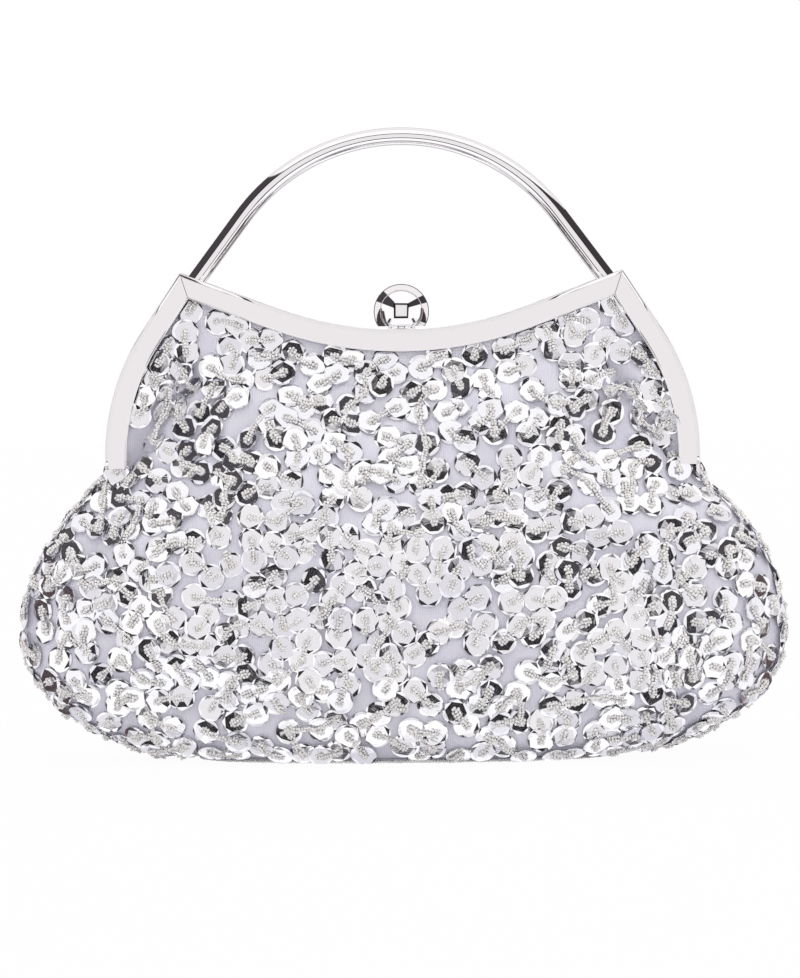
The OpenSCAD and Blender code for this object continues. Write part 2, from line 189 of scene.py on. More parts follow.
def plain_cloth(inset):
    """The front cloth without folds: rows and columns of points, inset from the beading's outside."""
    hem_x, hem_z = inner_corner(HEM_N)
    across = np.sin(np.linspace(-math.pi / 2, math.pi / 2, CLOTH_COLUMNS + 1))
    u = mix(across, np.linspace(-1, 1, CLOTH_COLUMNS + 1), EVEN_COLUMNS)
    upper, lower = row_heights()
    full = np.power(np.clip(1 - np.abs(u) ** ROUND_POWER, 0, 1), 1 / ROUND_POWER)
    flat = smooth((FLAT_END - np.abs(u)) / FALL_SHARE)
    top_z = top_edge_z(u * hem_x) - HEM_N / math.cos(TOP_SLOPE)
    rows = []
    for side_z in np.concatenate([upper, lower]):
        share = (hem_z - side_z) / (hem_z - TURN_Z)
        z = np.where(share < 1, top_z + (TURN_Z - top_z) * min(1, share), side_z)
        out_of_rail = float(smooth((LEAVES_RAIL_Z - side_z) / LEAVES_OVER))
        roundness = float(smooth((ROUNDS_Z - side_z) / ROUNDS_OVER))
        rail_x = side_edge_x(max(side_z, RAIL_FOOT_Z)) - HEM_N / (math.cos(LEAN) if side_z > KNEE_Z else 1)
        half_w = mix(rail_x, pouch_half_w(min(side_z, RIM_Z)) - inset, out_of_rail)
        edge_d = mix(HEM_D - inset / 3, 0.0, out_of_rail)
        depth = middle_depth(z[len(u) // 2]) - inset * float(smooth(share * 2))
        y = -(edge_d + (depth - edge_d) * mix(flat, full, roundness))
        lift = inset * np.maximum(0, 1 - z / BELLY_Z)
        rows.append(np.stack([u * half_w, y, z + lift], axis=1))
    return np.array(rows)


def grid_normals(grid):
    """Outward normals of a grid of the front cloth."""
    across = np.gradient(grid, axis=1)
    down = np.gradient(grid, axis=0)
    n = np.cross(down, across)
    n /= np.maximum(np.linalg.norm(n, axis=2, keepdims=True), 1e-9)
    upright_z = 15
    return np.where((n[..., 1:2] > 0) & (grid[..., 2:3] > upright_z), -n, n)


def line_distance(x, z, a, b):
    """Signed distance from the line through a and b, and the share along it."""
    along = np.array(b) - np.array(a)
    length = np.linalg.norm(along)
    t = ((x - a[0]) * along[0] + (z - a[1]) * along[1]) / length**2
    d = ((x - a[0]) * along[1] - (z - a[1]) * along[0]) / length
    return d, t


def rail_lines():
    """The inner edge of the frame's face, as points from the left foot over the top to the right foot."""
    x_in, z_in = inner_corner(RAIL_W)
    top_x = np.linspace(-x_in, x_in, 60)
    slope = np.arctan(np.gradient(top_edge_z(top_x), top_x))
    top = np.stack([top_x, top_edge_z(top_x) - RAIL_W / np.cos(slope)], axis=1)
    side_z = np.linspace(z_in, RAIL_FOOT_Z, 40)[1:]
    turn = np.where(side_z > KNEE_Z, LEAN, np.arcsin(np.clip((side_z - BEND_Z) / SIDE_R, 0, 1)))
    right = np.stack([side_edge_x(side_z) - RAIL_W / np.cos(turn), side_z], axis=1)
    left = right[::-1] * np.array([-1, 1])
    return np.concatenate([left, top, right])


RAIL_EDGE = rail_lines()


def rail_gap(x, z):
    """Distance in the front view from the inner edge of the frame, below 0 behind its face."""
    shape = np.shape(x)
    px, pz = np.ravel(x), np.ravel(z)
    best = np.full(len(px), np.inf)
    for p in RAIL_EDGE:
        best = np.minimum(best, np.hypot(px - p[0], pz - p[1]))
    half = len(RAIL_EDGE) // 2
    right = RAIL_EDGE[half:]
    corner = int(np.argmax(right[:, 1]))
    under_top = pz < np.interp(np.abs(px), right[: corner + 1, 0], right[: corner + 1, 1])
    side = right[corner:][::-1]
    inside_side = np.abs(px) < np.interp(pz, side[:, 1], side[:, 0])
    sign = np.where(under_top & inside_side | (pz < RAIL_FOOT_Z), 1.0, -1.0)
    return (best * sign).reshape(shape)


# Creases of the front cloth: two ends, depth and width
CREASES = [
    ((-64, 122), (-88, 88), 2.6, 2.6),
    ((63, 122), (86, 92), 2.6, 2.6),
    ((-38, 124), (-52, 96), 1.3, 3.0),
    ((35, 122), (46, 98), 1.2, 3.0),
    ((-12, 120), (-9, 100), 0.9, 3.0),
    ((14, 120), (20, 102), 0.9, 3.2),
    ((-98, 66), (-74, 52), 1.2, 4.5),
    ((97, 70), (78, 50), 1.2, 4.5),
    ((-60, 20), (-20, 14), 1.0, 5.0),
    ((25, 13), (66, 21), 1.0, 5.0),
]


# Share of a crease over which each end fades, and the ridges beside it: offset in widths, share of its depth
CREASE_FADE = 0.15
RIDGE_OFFSET, RIDGE_SHARE = 2.3, 0.4

# Gathers under the frame: length and height of each wave. They slant a little, start a little below the
# rail, fade as they go down, and are gone at their foot.
GATHERS = [(8.3, 0.35), (12.7, 0.5), (19.0, 0.45)]
GATHER_SLANT = 0.03
GATHER_START, GATHER_FADE = 5.0, 13.0
GATHER_FOOT_Z, GATHER_FOOT_OVER = 78, 14

# Soft lumps: length and height of each wave, how much longer they are across, and how far from the rail
# they reach their full height
LUMPS = [(58, 1.1), (37, 0.8), (25, 0.45)]
LUMP_STRETCH = 1.3
LUMP_START = 16.0

# Any turn of a wave, and where folds flatten out: rows under the hem, share of the half width, height at
# the base
ANY_TURN = 6.28
HEM_FLAT_ROWS, HEM_FADE_ROWS = 5, 9
EDGE_FADE = 0.05
FOOT_FADE = 9.0


def fold_heights(grid, seed):
    """How far gathers, creases and soft lumps move the cloth along its normal."""
    rng = np.random.default_rng(seed)
    x, z = grid[..., 0], grid[..., 2]
    gap = rail_gap(x, z)
    above = smooth((z - GATHER_FOOT_Z) / GATHER_FOOT_OVER)
    gathers = sum(
        size * np.cos(2 * math.pi * x / length + rng.uniform(0, ANY_TURN) + GATHER_SLANT * z)
        for length, size in GATHERS
    )
    out = gathers * np.exp(-gap / GATHER_FADE) * smooth(gap / GATHER_START) * above
    for a, b, depth, width in CREASES:
        d, t = line_distance(x, z, a, b)
        reach = smooth((t + CREASE_FADE) / (2 * CREASE_FADE))
        reach = reach * smooth((1 + CREASE_FADE - t) / (2 * CREASE_FADE))
        ridge = np.exp(-((np.abs(d) - RIDGE_OFFSET * width) ** 2) / width**2)
        out = out + reach * depth * (RIDGE_SHARE * ridge - np.exp(-(d**2) / width**2))
    for length, size in LUMPS:
        turn, p, q = rng.uniform(0, ANY_TURN, 3)
        a = (x * math.cos(turn) + z * math.sin(turn)) * 2 * math.pi / length + p
        b = (z * math.cos(turn) - x * math.sin(turn)) * 2 * math.pi / (length * LUMP_STRETCH) + q
        out = out + size * np.sin(a) * np.sin(b) * smooth(gap / LUMP_START)
    edge = np.abs(np.linspace(-1, 1, grid.shape[1]))[None, :]
    hem = smooth((np.arange(grid.shape[0]) - HEM_FLAT_ROWS) / HEM_FADE_ROWS)[:, None]
    foot = smooth(z / FOOT_FADE)
    return out * smooth((1 - edge) / EDGE_FADE) * hem * foot


def folded_cloth(inset, seed, flip):
    """The cloth's grid with its folds; flip turns it into the back."""
    grid = plain_cloth(inset)
    grid = grid + grid_normals(grid) * fold_heights(grid, seed)[..., None]
    normals = grid_normals(grid)
    if flip:
        turned = np.array([-1, -1, 1.0])
        return grid * turned, normals * turned
    return grid, normals


# ---------- meshes ----------


def build_object(name, points, faces, uv=None, even=True):
    """A mesh object from points in millimetres and arrays of faces with one number of corners each."""
    mesh = bpy.data.meshes.new(name)
    flat = np.concatenate([np.ravel(f) for f in faces]).astype(np.int32)
    counts = np.concatenate([np.full(len(f), f.shape[1]) for f in faces])
    starts = np.concatenate([[0], np.cumsum(counts)[:-1]]).astype(np.int32)
    mesh.vertices.add(len(points))
    mesh.vertices.foreach_set("co", (points * MM).astype(np.float32).ravel())
    mesh.loops.add(len(flat))
    mesh.polygons.add(len(counts))
    mesh.polygons.foreach_set("loop_start", starts)
    mesh.polygons.foreach_set("vertices", flat)
    mesh.polygons.foreach_set("use_smooth", np.full(len(counts), even))
    if uv is not None:
        layer = mesh.uv_layers.new(name="OFBake")
        layer.data.foreach_set("uv", uv[flat].astype(np.float32).ravel())
    mesh.update(calc_edges=True)
    mesh.validate()
    obj = bpy.data.objects.new(name, mesh)
    bpy.context.scene.collection.objects.link(obj)
    return obj


def point_values(obj, name, values):
    """Stores one number per point, for the materials to read."""
    layer = obj.data.attributes.new(name, "FLOAT", "POINT")
    layer.data.foreach_set("value", np.asarray(values, np.float32))


def thin_shell(name, outer, inner):
    """A closed sheet between two grids of points."""
    rows, cols = outer.shape[:2]
    n = rows * cols
    at = np.arange(n).reshape(rows, cols)
    a, b, c, d = at[:-1, :-1], at[:-1, 1:], at[1:, 1:], at[1:, :-1]
    front = np.stack([a, d, c, b], axis=-1).reshape(-1, 4)
    back = np.stack([a, b, c, d], axis=-1).reshape(-1, 4) + n
    rim = np.concatenate([at[0, :], at[1:, -1], at[-1, -2::-1], at[-2:0:-1, 0]])
    after = np.roll(rim, -1)
    edge = np.stack([rim, after, after + n, rim + n], axis=1)
    u, v = np.meshgrid(np.linspace(0.01, 0.99, cols), np.linspace(0.49, 0.01, rows))
    uv = np.concatenate([np.stack([u.ravel(), v.ravel() + 0.5], 1), np.stack([u.ravel(), v.ravel()], 1)])
    points = np.concatenate([outer.reshape(-1, 3), inner.reshape(-1, 3)])
    piece = build_object(name, points, [front, back, edge], uv)
    outward(piece)
    return piece


def outward(obj):
    """Turns all faces of a closed mesh outward."""
    work = bmesh.new()
    work.from_mesh(obj.data)
    bmesh.ops.recalc_face_normals(work, faces=work.faces)
    work.to_mesh(obj.data)
    work.free()


def scatter(template, faces, centres, axes_x, axes_y, axes_z, scale=None):
    """Copies of a template at many places: points, faces, and which copy each point belongs to."""
    count, size = len(centres), len(template)
    local = np.broadcast_to(template, (count, size, 3))
    if scale is not None:
        local = local * scale[:, None, :]
    points = (
        centres[:, None, :]
        + local[..., 0:1] * axes_x[:, None, :]
        + local[..., 1:2] * axes_y[:, None, :]
        + local[..., 2:3] * axes_z[:, None, :]
    )
    step = (np.arange(count) * size)[:, None, None]
    grown = [(f[None] + step).reshape(-1, f.shape[1]) for f in faces]
    return points.reshape(-1, 3), grown, np.repeat(np.arange(count), size)


def cell_uv(template_uv, first, number, total, margin):
    """One square cell of the texture for each copy, for a number of copies out of the total."""
    side = math.ceil(math.sqrt(total))
    cell = np.arange(first, first + number)
    corner = np.stack([cell % side, cell // side], axis=1) / side
    return (corner[:, None] + (margin + (1 - 2 * margin) * template_uv[None]) / side).reshape(-1, 2)


# ---------- shader helpers ----------


def feed(tree, socket, value):
    """Links a socket to another, or sets its value."""
    if isinstance(value, bpy.types.NodeSocket):
        tree.links.new(value, socket)
    else:
        socket.default_value = value


def put(tree, kind, *inputs, out=0, **named):
    """Adds a node with inputs in order or by name and settings by name, and returns one output."""
    node = tree.nodes.new(kind)
    for key in [k for k in named if k[0].islower()]:
        setattr(node, key, named.pop(key))
    for socket, value in [*zip(node.inputs, inputs), *((node.inputs[k], v) for k, v in named.items())]:
        feed(tree, socket, value)
    return node.outputs[out]


def sums(tree, operation, *values, clamp=False):
    """A Math node's result."""
    return put(tree, "ShaderNodeMath", *values, operation=operation, use_clamp=clamp)


def blend_colour(tree, factor, a, b):
    """A colour between a and b."""
    node = tree.nodes.new("ShaderNodeMix")
    node.data_type = "RGBA"
    for key, value in (("Factor", factor), ("A", a), ("B", b)):
        feed(tree, next(s for s in node.inputs if s.name == key and s.enabled), value)
    return next(s for s in node.outputs if s.enabled)


def ramp(tree, value, low, high):
    """0 at low and 1 at high, and between them in between."""
    return put(tree, "ShaderNodeMapRange", value, low, high, 0.0, 1.0)


def new_group(name, inputs, outputs):
    """An empty node group with named sockets; inputs map a name to its default."""
    group = bpy.data.node_groups.new(name, "ShaderNodeTree")
    for key, default in inputs.items():
        socket = group.interface.new_socket(key, in_out="INPUT", socket_type="NodeSocketFloat")
        socket.default_value = default
    for key, kind in outputs.items():
        group.interface.new_socket(key, in_out="OUTPUT", socket_type=kind)
    return group, group.nodes.new("NodeGroupInput"), group.nodes.new("NodeGroupOutput")


def handling_marks():
    """Faint cloudiness and hairline marks that handling leaves on plating and film."""
    if "Handling marks" in bpy.data.node_groups:
        return bpy.data.node_groups["Handling marks"]
    group, given, result = new_group(
        "Handling marks",
        {"Scale": 90.0, "Roughness": 0.05, "Spread": 0.05, "Mark Height": 0.00002},
        {"Roughness": "NodeSocketFloat", "Normal": "NodeSocketVector"},
    )
    place = put(group, "ShaderNodeTexCoord", out="Object")
    cloud = put(group, "ShaderNodeTexNoise", place, Scale=given.outputs["Scale"], Detail=4.0)
    turned = put(group, "ShaderNodeMapping", place, Rotation=(0.4, 0.9, 0.2), Scale=(60.0, 900.0, 60.0))
    hair = put(group, "ShaderNodeTexNoise", turned, Scale=6.0, Detail=2.0)
    height = sums(group, "MULTIPLY", sums(group, "ADD", cloud, hair), 0.5)
    spread = sums(group, "MULTIPLY", sums(group, "SUBTRACT", height, 0.45), given.outputs["Spread"])
    rough = sums(group, "ADD", given.outputs["Roughness"], spread, clamp=True)
    normal = put(group, "ShaderNodeBump", Strength=0.4, Distance=given.outputs["Mark Height"], Height=hair)
    group.links.new(rough, result.inputs["Roughness"])
    group.links.new(normal, result.inputs["Normal"])
    return group


def thread_weave():
    """Fine crossing threads with slight unevenness, for satin and lining."""
    if "Thread weave" in bpy.data.node_groups:
        return bpy.data.node_groups["Thread weave"]
    group, given, result = new_group(
        "Thread weave",
        {"Threads": 2600.0, "Slub": 0.35},
        {"Height": "NodeSocketFloat", "Shade": "NodeSocketFloat"},
    )
    place = put(group, "ShaderNodeTexCoord", out="Object")
    part = group.nodes.new("ShaderNodeSeparateXYZ")
    group.links.new(place, part.inputs[0])
    along = sums(group, "MULTIPLY", part.outputs["X"], given.outputs["Threads"])
    rise = sums(group, "ADD", part.outputs["Z"], sums(group, "MULTIPLY", part.outputs["Y"], 0.8))
    up = sums(group, "MULTIPLY", rise, given.outputs["Threads"])
    warp = sums(group, "SINE", along)
    weft = sums(group, "SINE", up)
    cross = sums(group, "MULTIPLY", warp, weft)
    long_float = sums(
        group, "ADD", sums(group, "MULTIPLY", warp, 0.6), sums(group, "MULTIPLY", cross, 0.4))
    slub = put(group, "ShaderNodeTexNoise", place, Scale=220.0, Detail=3.0)
    uneven = sums(group, "MULTIPLY", sums(group, "SUBTRACT", slub, 0.5), given.outputs["Slub"])
    group.links.new(sums(group, "ADD", long_float, uneven), result.inputs["Height"])
    broad = put(group, "ShaderNodeTexNoise", place, Scale=45.0, Detail=2.0)
    shade = sums(group, "ADD", sums(group, "MULTIPLY", long_float, 0.15), broad)
    group.links.new(shade, result.inputs["Shade"])
    return group


def fresh_material(name):
    """A new material and its tree, with an empty Principled shader on the output."""
    material = bpy.data.materials.new(name)
    material.use_nodes = True
    tree = material.node_tree
    tree.nodes.clear()
    shader = tree.nodes.new("ShaderNodeBsdfPrincipled")
    output = tree.nodes.new("ShaderNodeOutputMaterial")
    tree.links.new(shader.outputs[0], output.inputs[0])
    return material, tree, shader


def group_node(tree, group, **values):
    """Places a node group with its own values; an underscore stands for the space in an input's name."""
    node = tree.nodes.new("ShaderNodeGroup")
    node.node_tree = group
    for key, value in values.items():
        node.inputs[key.replace("_", " ")].default_value = value
    return node


def plating(name, colour, rough, marks=0.05, scale=90.0, height=0.000001):
    """Bright plated metal with handling marks."""
    material, tree, shader = fresh_material(name)
    shader.inputs["Base Color"].default_value = colour
    shader.inputs["Metallic"].default_value = 1.0
    wear = group_node(tree, handling_marks(), Scale=scale, Roughness=rough, Spread=marks, Mark_Height=height)
    tree.links.new(wear.outputs["Roughness"], shader.inputs["Roughness"])
    tree.links.new(wear.outputs["Normal"], shader.inputs["Normal"])
    return material


def satin(name, light, dark, threads, height):
    """Woven satin with long floats, a soft sheen and slow colour drift."""
    material, tree, shader = fresh_material(name)
    weave = group_node(tree, thread_weave(), Threads=threads)
    colour = blend_colour(tree, ramp(tree, weave.outputs["Shade"], 0.3, 0.75), dark, light)
    tree.links.new(colour, shader.inputs["Base Color"])
    shader.inputs["Roughness"].default_value = 0.42
    shader.inputs["Sheen Weight"].default_value = 0.35
    shader.inputs["Sheen Roughness"].default_value = 0.4
    bump = put(tree, "ShaderNodeBump", Strength=0.5, Distance=height, Height=weave.outputs["Height"])
    tree.links.new(bump, shader.inputs["Normal"])
    return material


def sequin_film(tint, shade):
    """Mirror film: each sequin has its own slight tint and its own ripple."""
    material, tree, shader = fresh_material("Mirror film")
    own = put(tree, "ShaderNodeAttribute", attribute_name="own_shade", out="Fac")
    tree.links.new(blend_colour(tree, own, shade, tint), shader.inputs["Base Color"])
    shader.inputs["Metallic"].default_value = 0.96
    wear = group_node(tree, handling_marks(), Scale=400.0, Roughness=0.06, Spread=0.06, Mark_Height=0.00003)
    tree.links.new(wear.outputs["Roughness"], shader.inputs["Roughness"])
    place = put(tree, "ShaderNodeTexCoord", out="Object")
    ripple = put(tree, "ShaderNodeTexNoise", place, Scale=160.0, Detail=1.0)
    bump = put(tree, "ShaderNodeBump", Strength=0.35, Distance=0.0001, Height=ripple,
               Normal=wear.outputs["Normal"])
    tree.links.new(bump, shader.inputs["Normal"])
    return material


def lined_bead(clear, deep):
    """Clear glass over a silver lining, seen as bright glass with grey and warm depths."""
    material, tree, shader = fresh_material("Silver-lined glass")
    own = put(tree, "ShaderNodeAttribute", attribute_name="own_shade", out="Fac")
    place = put(tree, "ShaderNodeTexCoord", out="Object")
    fleck = put(tree, "ShaderNodeTexNoise", place, Scale=1500.0, Detail=1.0)
    depth = sums(
        tree, "ADD", sums(tree, "MULTIPLY", own, 0.7), sums(tree, "MULTIPLY", fleck, 0.6), clamp=True)
    colour = blend_colour(tree, ramp(tree, depth, 0.35, 0.75), deep, clear)
    tree.links.new(colour, shader.inputs["Base Color"])
    shader.inputs["Metallic"].default_value = 0.1
    shader.inputs["Roughness"].default_value = 0.12
    shader.inputs["IOR"].default_value = 1.55
    shader.inputs["Coat Weight"].default_value = 1.0
    shader.inputs["Coat Roughness"].default_value = 0.04
    bump = put(tree, "ShaderNodeBump", Strength=0.3, Distance=0.0001, Height=fleck)
    tree.links.new(bump, shader.inputs["Normal"])
    return material


def fibre(name, light, dark, scale):
    """Pressed or twisted paper fibre."""
    material, tree, shader = fresh_material(name)
    place = put(tree, "ShaderNodeTexCoord", out="Object")
    grain = put(tree, "ShaderNodeTexNoise", place, Scale=scale, Detail=6.0, Roughness=0.7)
    tree.links.new(blend_colour(tree, grain, dark, light), shader.inputs["Base Color"])
    shader.inputs["Roughness"].default_value = 0.9
    bump = put(tree, "ShaderNodeBump", Strength=0.6, Distance=0.0002, Height=grain)
    tree.links.new(bump, shader.inputs["Normal"])
    return material


# ---------- settings ----------


def colour_setting(name, description, default):
    """A colour that a user can change."""
    return bpy.props.FloatVectorProperty(
        name=name, description=description, subtype="COLOR", size=4, min=0, max=1, default=default)


def angle_setting(name, description, degrees, least, most):
    """An angle that a user can change, given in degrees."""
    return bpy.props.FloatProperty(
        name=name, description=description, subtype="ANGLE", unit="ROTATION",
        default=math.radians(degrees), min=math.radians(least), max=math.radians(most))


class ClothSettings(bpy.types.PropertyGroup):
    """Folds and colours of the cloth"""

    inset: bpy.props.FloatProperty(
        name="Inset", description="How far the cloth lies under the outside of its beading, in millimetres",
        default=1.7, min=1.0, max=2.2)
    front_seed: bpy.props.IntProperty(
        name="Front Folds", description="Which folds the front cloth has", default=5)
    back_seed: bpy.props.IntProperty(
        name="Back Folds", description="Which folds the back cloth has", default=11)
    satin_light: colour_setting(
        "Satin Light", "Colour of the satin where it catches light", (0.80, 0.795, 0.87, 1))
    satin_dark: colour_setting("Satin Dark", "Colour of the satin in its hollows", (0.69, 0.685, 0.775, 1))


class SequinSettings(bpy.types.PropertyGroup):
    """Size, spread and colours of the sequins"""

    diameter: bpy.props.FloatProperty(
        name="Diameter", description="Diameter of a sequin, in millimetres", default=8.2, min=4, max=12)
    share: bpy.props.FloatProperty(
        name="Share", description="Area of cloth for each sequin, in square millimetres",
        default=51, min=40, max=200)
    tilt: angle_setting("Tilt", "Usual tilt of a sequin away from the cloth", 12, 0, 30)
    bevel: angle_setting("Bevel", "Angle of the facets around the flat middle", 18, 0, 45)
    seed: bpy.props.IntProperty(name="Seed", description="Which way the sequins fall", default=3)
    tint: colour_setting("Tint", "Colour of the brightest film", (0.97, 0.97, 0.98, 1))
    shade: colour_setting("Shade", "Colour of the dullest film", (0.80, 0.80, 0.86, 1))


class BeadSettings(bpy.types.PropertyGroup):
    """Size, strands and colours of the seed beads"""

    diameter: bpy.props.FloatProperty(
        name="Diameter", description="Diameter of a seed bead, in millimetres", default=0.95, min=0.6, max=2)
    again: bpy.props.FloatProperty(
        name="Second Strands", description="Share of the sequins that a second strand may join",
        subtype="FACTOR", default=0.4, min=0, max=1)
    seed: bpy.props.IntProperty(name="Seed", description="How the strands lie", default=29)
    clear: colour_setting(
        "Clear", "Colour of the glass where the lining shines through", (0.985, 0.98, 0.97, 1))
    deep: colour_setting("Deep", "Colour of the glass in its depths", (0.84, 0.82, 0.80, 1))


class MetalSettings(bpy.types.PropertyGroup):
    """Colour and edges of the plating"""

    plating: colour_setting("Plating", "Colour of the bright plating", (0.93, 0.92, 0.925, 1))
    edge: bpy.props.FloatProperty(
        name="Edge", description="Radius of the frame's rounded edges, in millimetres",
        default=0.28, min=0.05, max=0.4)


class StageSettings(bpy.types.PropertyGroup):
    """Lens and place of the camera"""

    lens: bpy.props.FloatProperty(
        name="Lens", description="Focal length of the camera's lens, in millimetres",
        default=135, min=50, max=300)
    elevation: angle_setting("Elevation", "Height of the camera above the horizon", 2.6, 0, 60)
    roll: angle_setting("Roll", "Turn of the camera about its own line of sight", -0.5, -12, 12)


def settings(name):
    """One group of the scene's settings."""
    return getattr(bpy.context.scene, name)


# ---------- pieces ----------


class BAG_OT_stage(bpy.types.Operator):
    """Camera, floor, and the studio that the metal reflects"""

    bl_idname = "bag.stage"
    bl_label = "Stage"

    def execute(self, context):
        stage = settings("bag_stage")
        # The height that the camera takes in at the bag, and the middle of its view, in metres
        sensor, view_height = 36.0, 303.2
        distance = stage.lens / sensor * view_height * MM
        target = Vector((-0.0009, -0.006, 0.0840))
        away = Vector((0, -math.cos(stage.elevation), math.sin(stage.elevation)))
        data = bpy.data.cameras.new("Camera")
        data.lens = stage.lens
        data.sensor_width = sensor
        data.clip_start, data.clip_end = 0.01, 20.0
        camera = bpy.data.objects.new("Camera", data)
        context.scene.collection.objects.link(camera)
        camera.location = target + away * distance
        turn = (-away).to_track_quat("-Z", "Y").to_matrix().to_4x4()
        camera.rotation_euler = (turn @ Matrix.Rotation(stage.roll, 4, "Z")).to_euler()
        context.scene.camera = camera
        context.scene.view_settings.view_transform = "Standard"
        studio_world(context.scene)
        studio_floor()
        return {"FINISHED"}


def studio_floor():
    """A pale table top that runs out of sight, nearly white to the camera and unseen in the metal."""
    half = 3000.0
    points = np.array([[-half, -half, 0], [half, -half, 0], [half, half, 0], [-half, half, 0]])
    floor = build_object("floor", points, [np.array([[0, 1, 2, 3]])])
    material, tree, shader = fresh_material("Pale floor")
    place = put(tree, "ShaderNodeTexCoord", out="Object")
    cloud = put(tree, "ShaderNodeTexNoise", place, Scale=3.0, Detail=2.0)
    pale = blend_colour(tree, cloud, (0.83, 0.825, 0.84, 1), (0.86, 0.855, 0.865, 1))
    tree.links.new(pale, shader.inputs["Base Color"])
    shader.inputs["Roughness"].default_value = 0.8
    glow = put(tree, "ShaderNodeEmission", (1, 1, 1, 1), 1.0)
    seen = put(tree, "ShaderNodeLightPath", out="Is Camera Ray")
    glow_share = 0.965
    output = next(n for n in tree.nodes if n.type == "OUTPUT_MATERIAL")
    share = sums(tree, "MULTIPLY", seen, glow_share)
    whole = put(tree, "ShaderNodeMixShader", share, shader.outputs[0], glow)
    tree.links.new(whole, output.inputs[0])
    floor.data.materials.append(material)
    floor.visible_glossy = False
    return floor


# What a mirror ball in front of the camera shows of the studio: four-sided areas, softness and colour.
# Places are shares of the ball's radius, across and up. Later areas lie over earlier ones.
STUDIO_AREAS = [
    # The table top, with two bright strips on it
    ([(-1.1, -0.28), (1.1, -0.28), (1.1, -1.1), (-1.1, -1.1)], 0.10, (0.82, 0.805, 0.845, 1)),
    ([(-0.32, -0.27), (0.32, -0.27), (0.40, -0.46), (-0.40, -0.46)], 0.02, (1.15, 1.14, 1.15, 1)),
    ([(-0.45, -0.68), (0.45, -0.68), (0.35, -0.86), (-0.35, -0.86)], 0.02, (1.15, 1.14, 1.15, 1)),
    # The stand's two legs and its crossbar
    ([(-0.36, -0.25), (-0.43, -0.23), (-0.64, -0.60), (-0.56, -0.64)], 0.01, (0.07, 0.063, 0.07, 1)),
    ([(0.36, -0.25), (0.56, -0.64), (0.64, -0.60), (0.43, -0.23)], 0.01, (0.07, 0.063, 0.07, 1)),
    ([(-0.44, -0.53), (0.44, -0.53), (0.43, -0.58), (-0.43, -0.58)], 0.01, (0.07, 0.063, 0.07, 1)),
    # Dark gaps low on the left and right
    ([(-0.50, -0.60), (-0.62, 0.02), (-0.80, 0.10), (-0.84, -0.50)], 0.03, (0.075, 0.05, 0.055, 1)),
    ([(0.62, -0.60), (0.84, -0.50), (0.80, 0.10), (0.70, 0.06)], 0.03, (0.09, 0.06, 0.06, 1)),
    # Dark flags high on the left and right
    ([(-0.24, 0.12), (-0.24, 0.34), (-0.66, 0.78), (-0.94, 0.40)], 0.012, (0.062, 0.055, 0.062, 1)),
    ([(0.24, 0.14), (0.94, 0.33), (0.80, 0.60), (0.24, 0.30)], 0.012, (0.05, 0.044, 0.05, 1)),
    # The window around the lens, and its dark frame
    ([(-0.275, -0.24), (0.245, -0.24), (0.275, 0.30), (-0.275, 0.31)], 0.012, (0.01, 0.008, 0.01, 1)),
    ([(-0.205, -0.165), (0.195, -0.165), (0.205, 0.235), (-0.205, 0.245)], 0.03, (0.90, 0.875, 0.89, 1)),
]


def inside_area(tree, u, w, corners, soft):
    """1 inside a convex area of the mirror-ball view and 0 outside it."""
    middle = np.mean(corners, axis=0)
    least = None
    for (ax, az), (bx, bz) in zip(corners, corners[1:] + corners[:1]):
        nx, nz = bz - az, ax - bx
        length = math.hypot(nx, nz)
        sign = 1 if (middle[0] - ax) * nx + (middle[1] - az) * nz > 0 else -1
        nx, nz = sign * nx / length, sign * nz / length
        d = sums(tree, "ADD", sums(tree, "MULTIPLY", u, nx), sums(tree, "MULTIPLY", w, nz))
        d = sums(tree, "SUBTRACT", d, ax * nx + az * nz)
        least = d if least is None else sums(tree, "MINIMUM", least, d)
    return ramp(tree, least, -soft / 2, soft / 2)


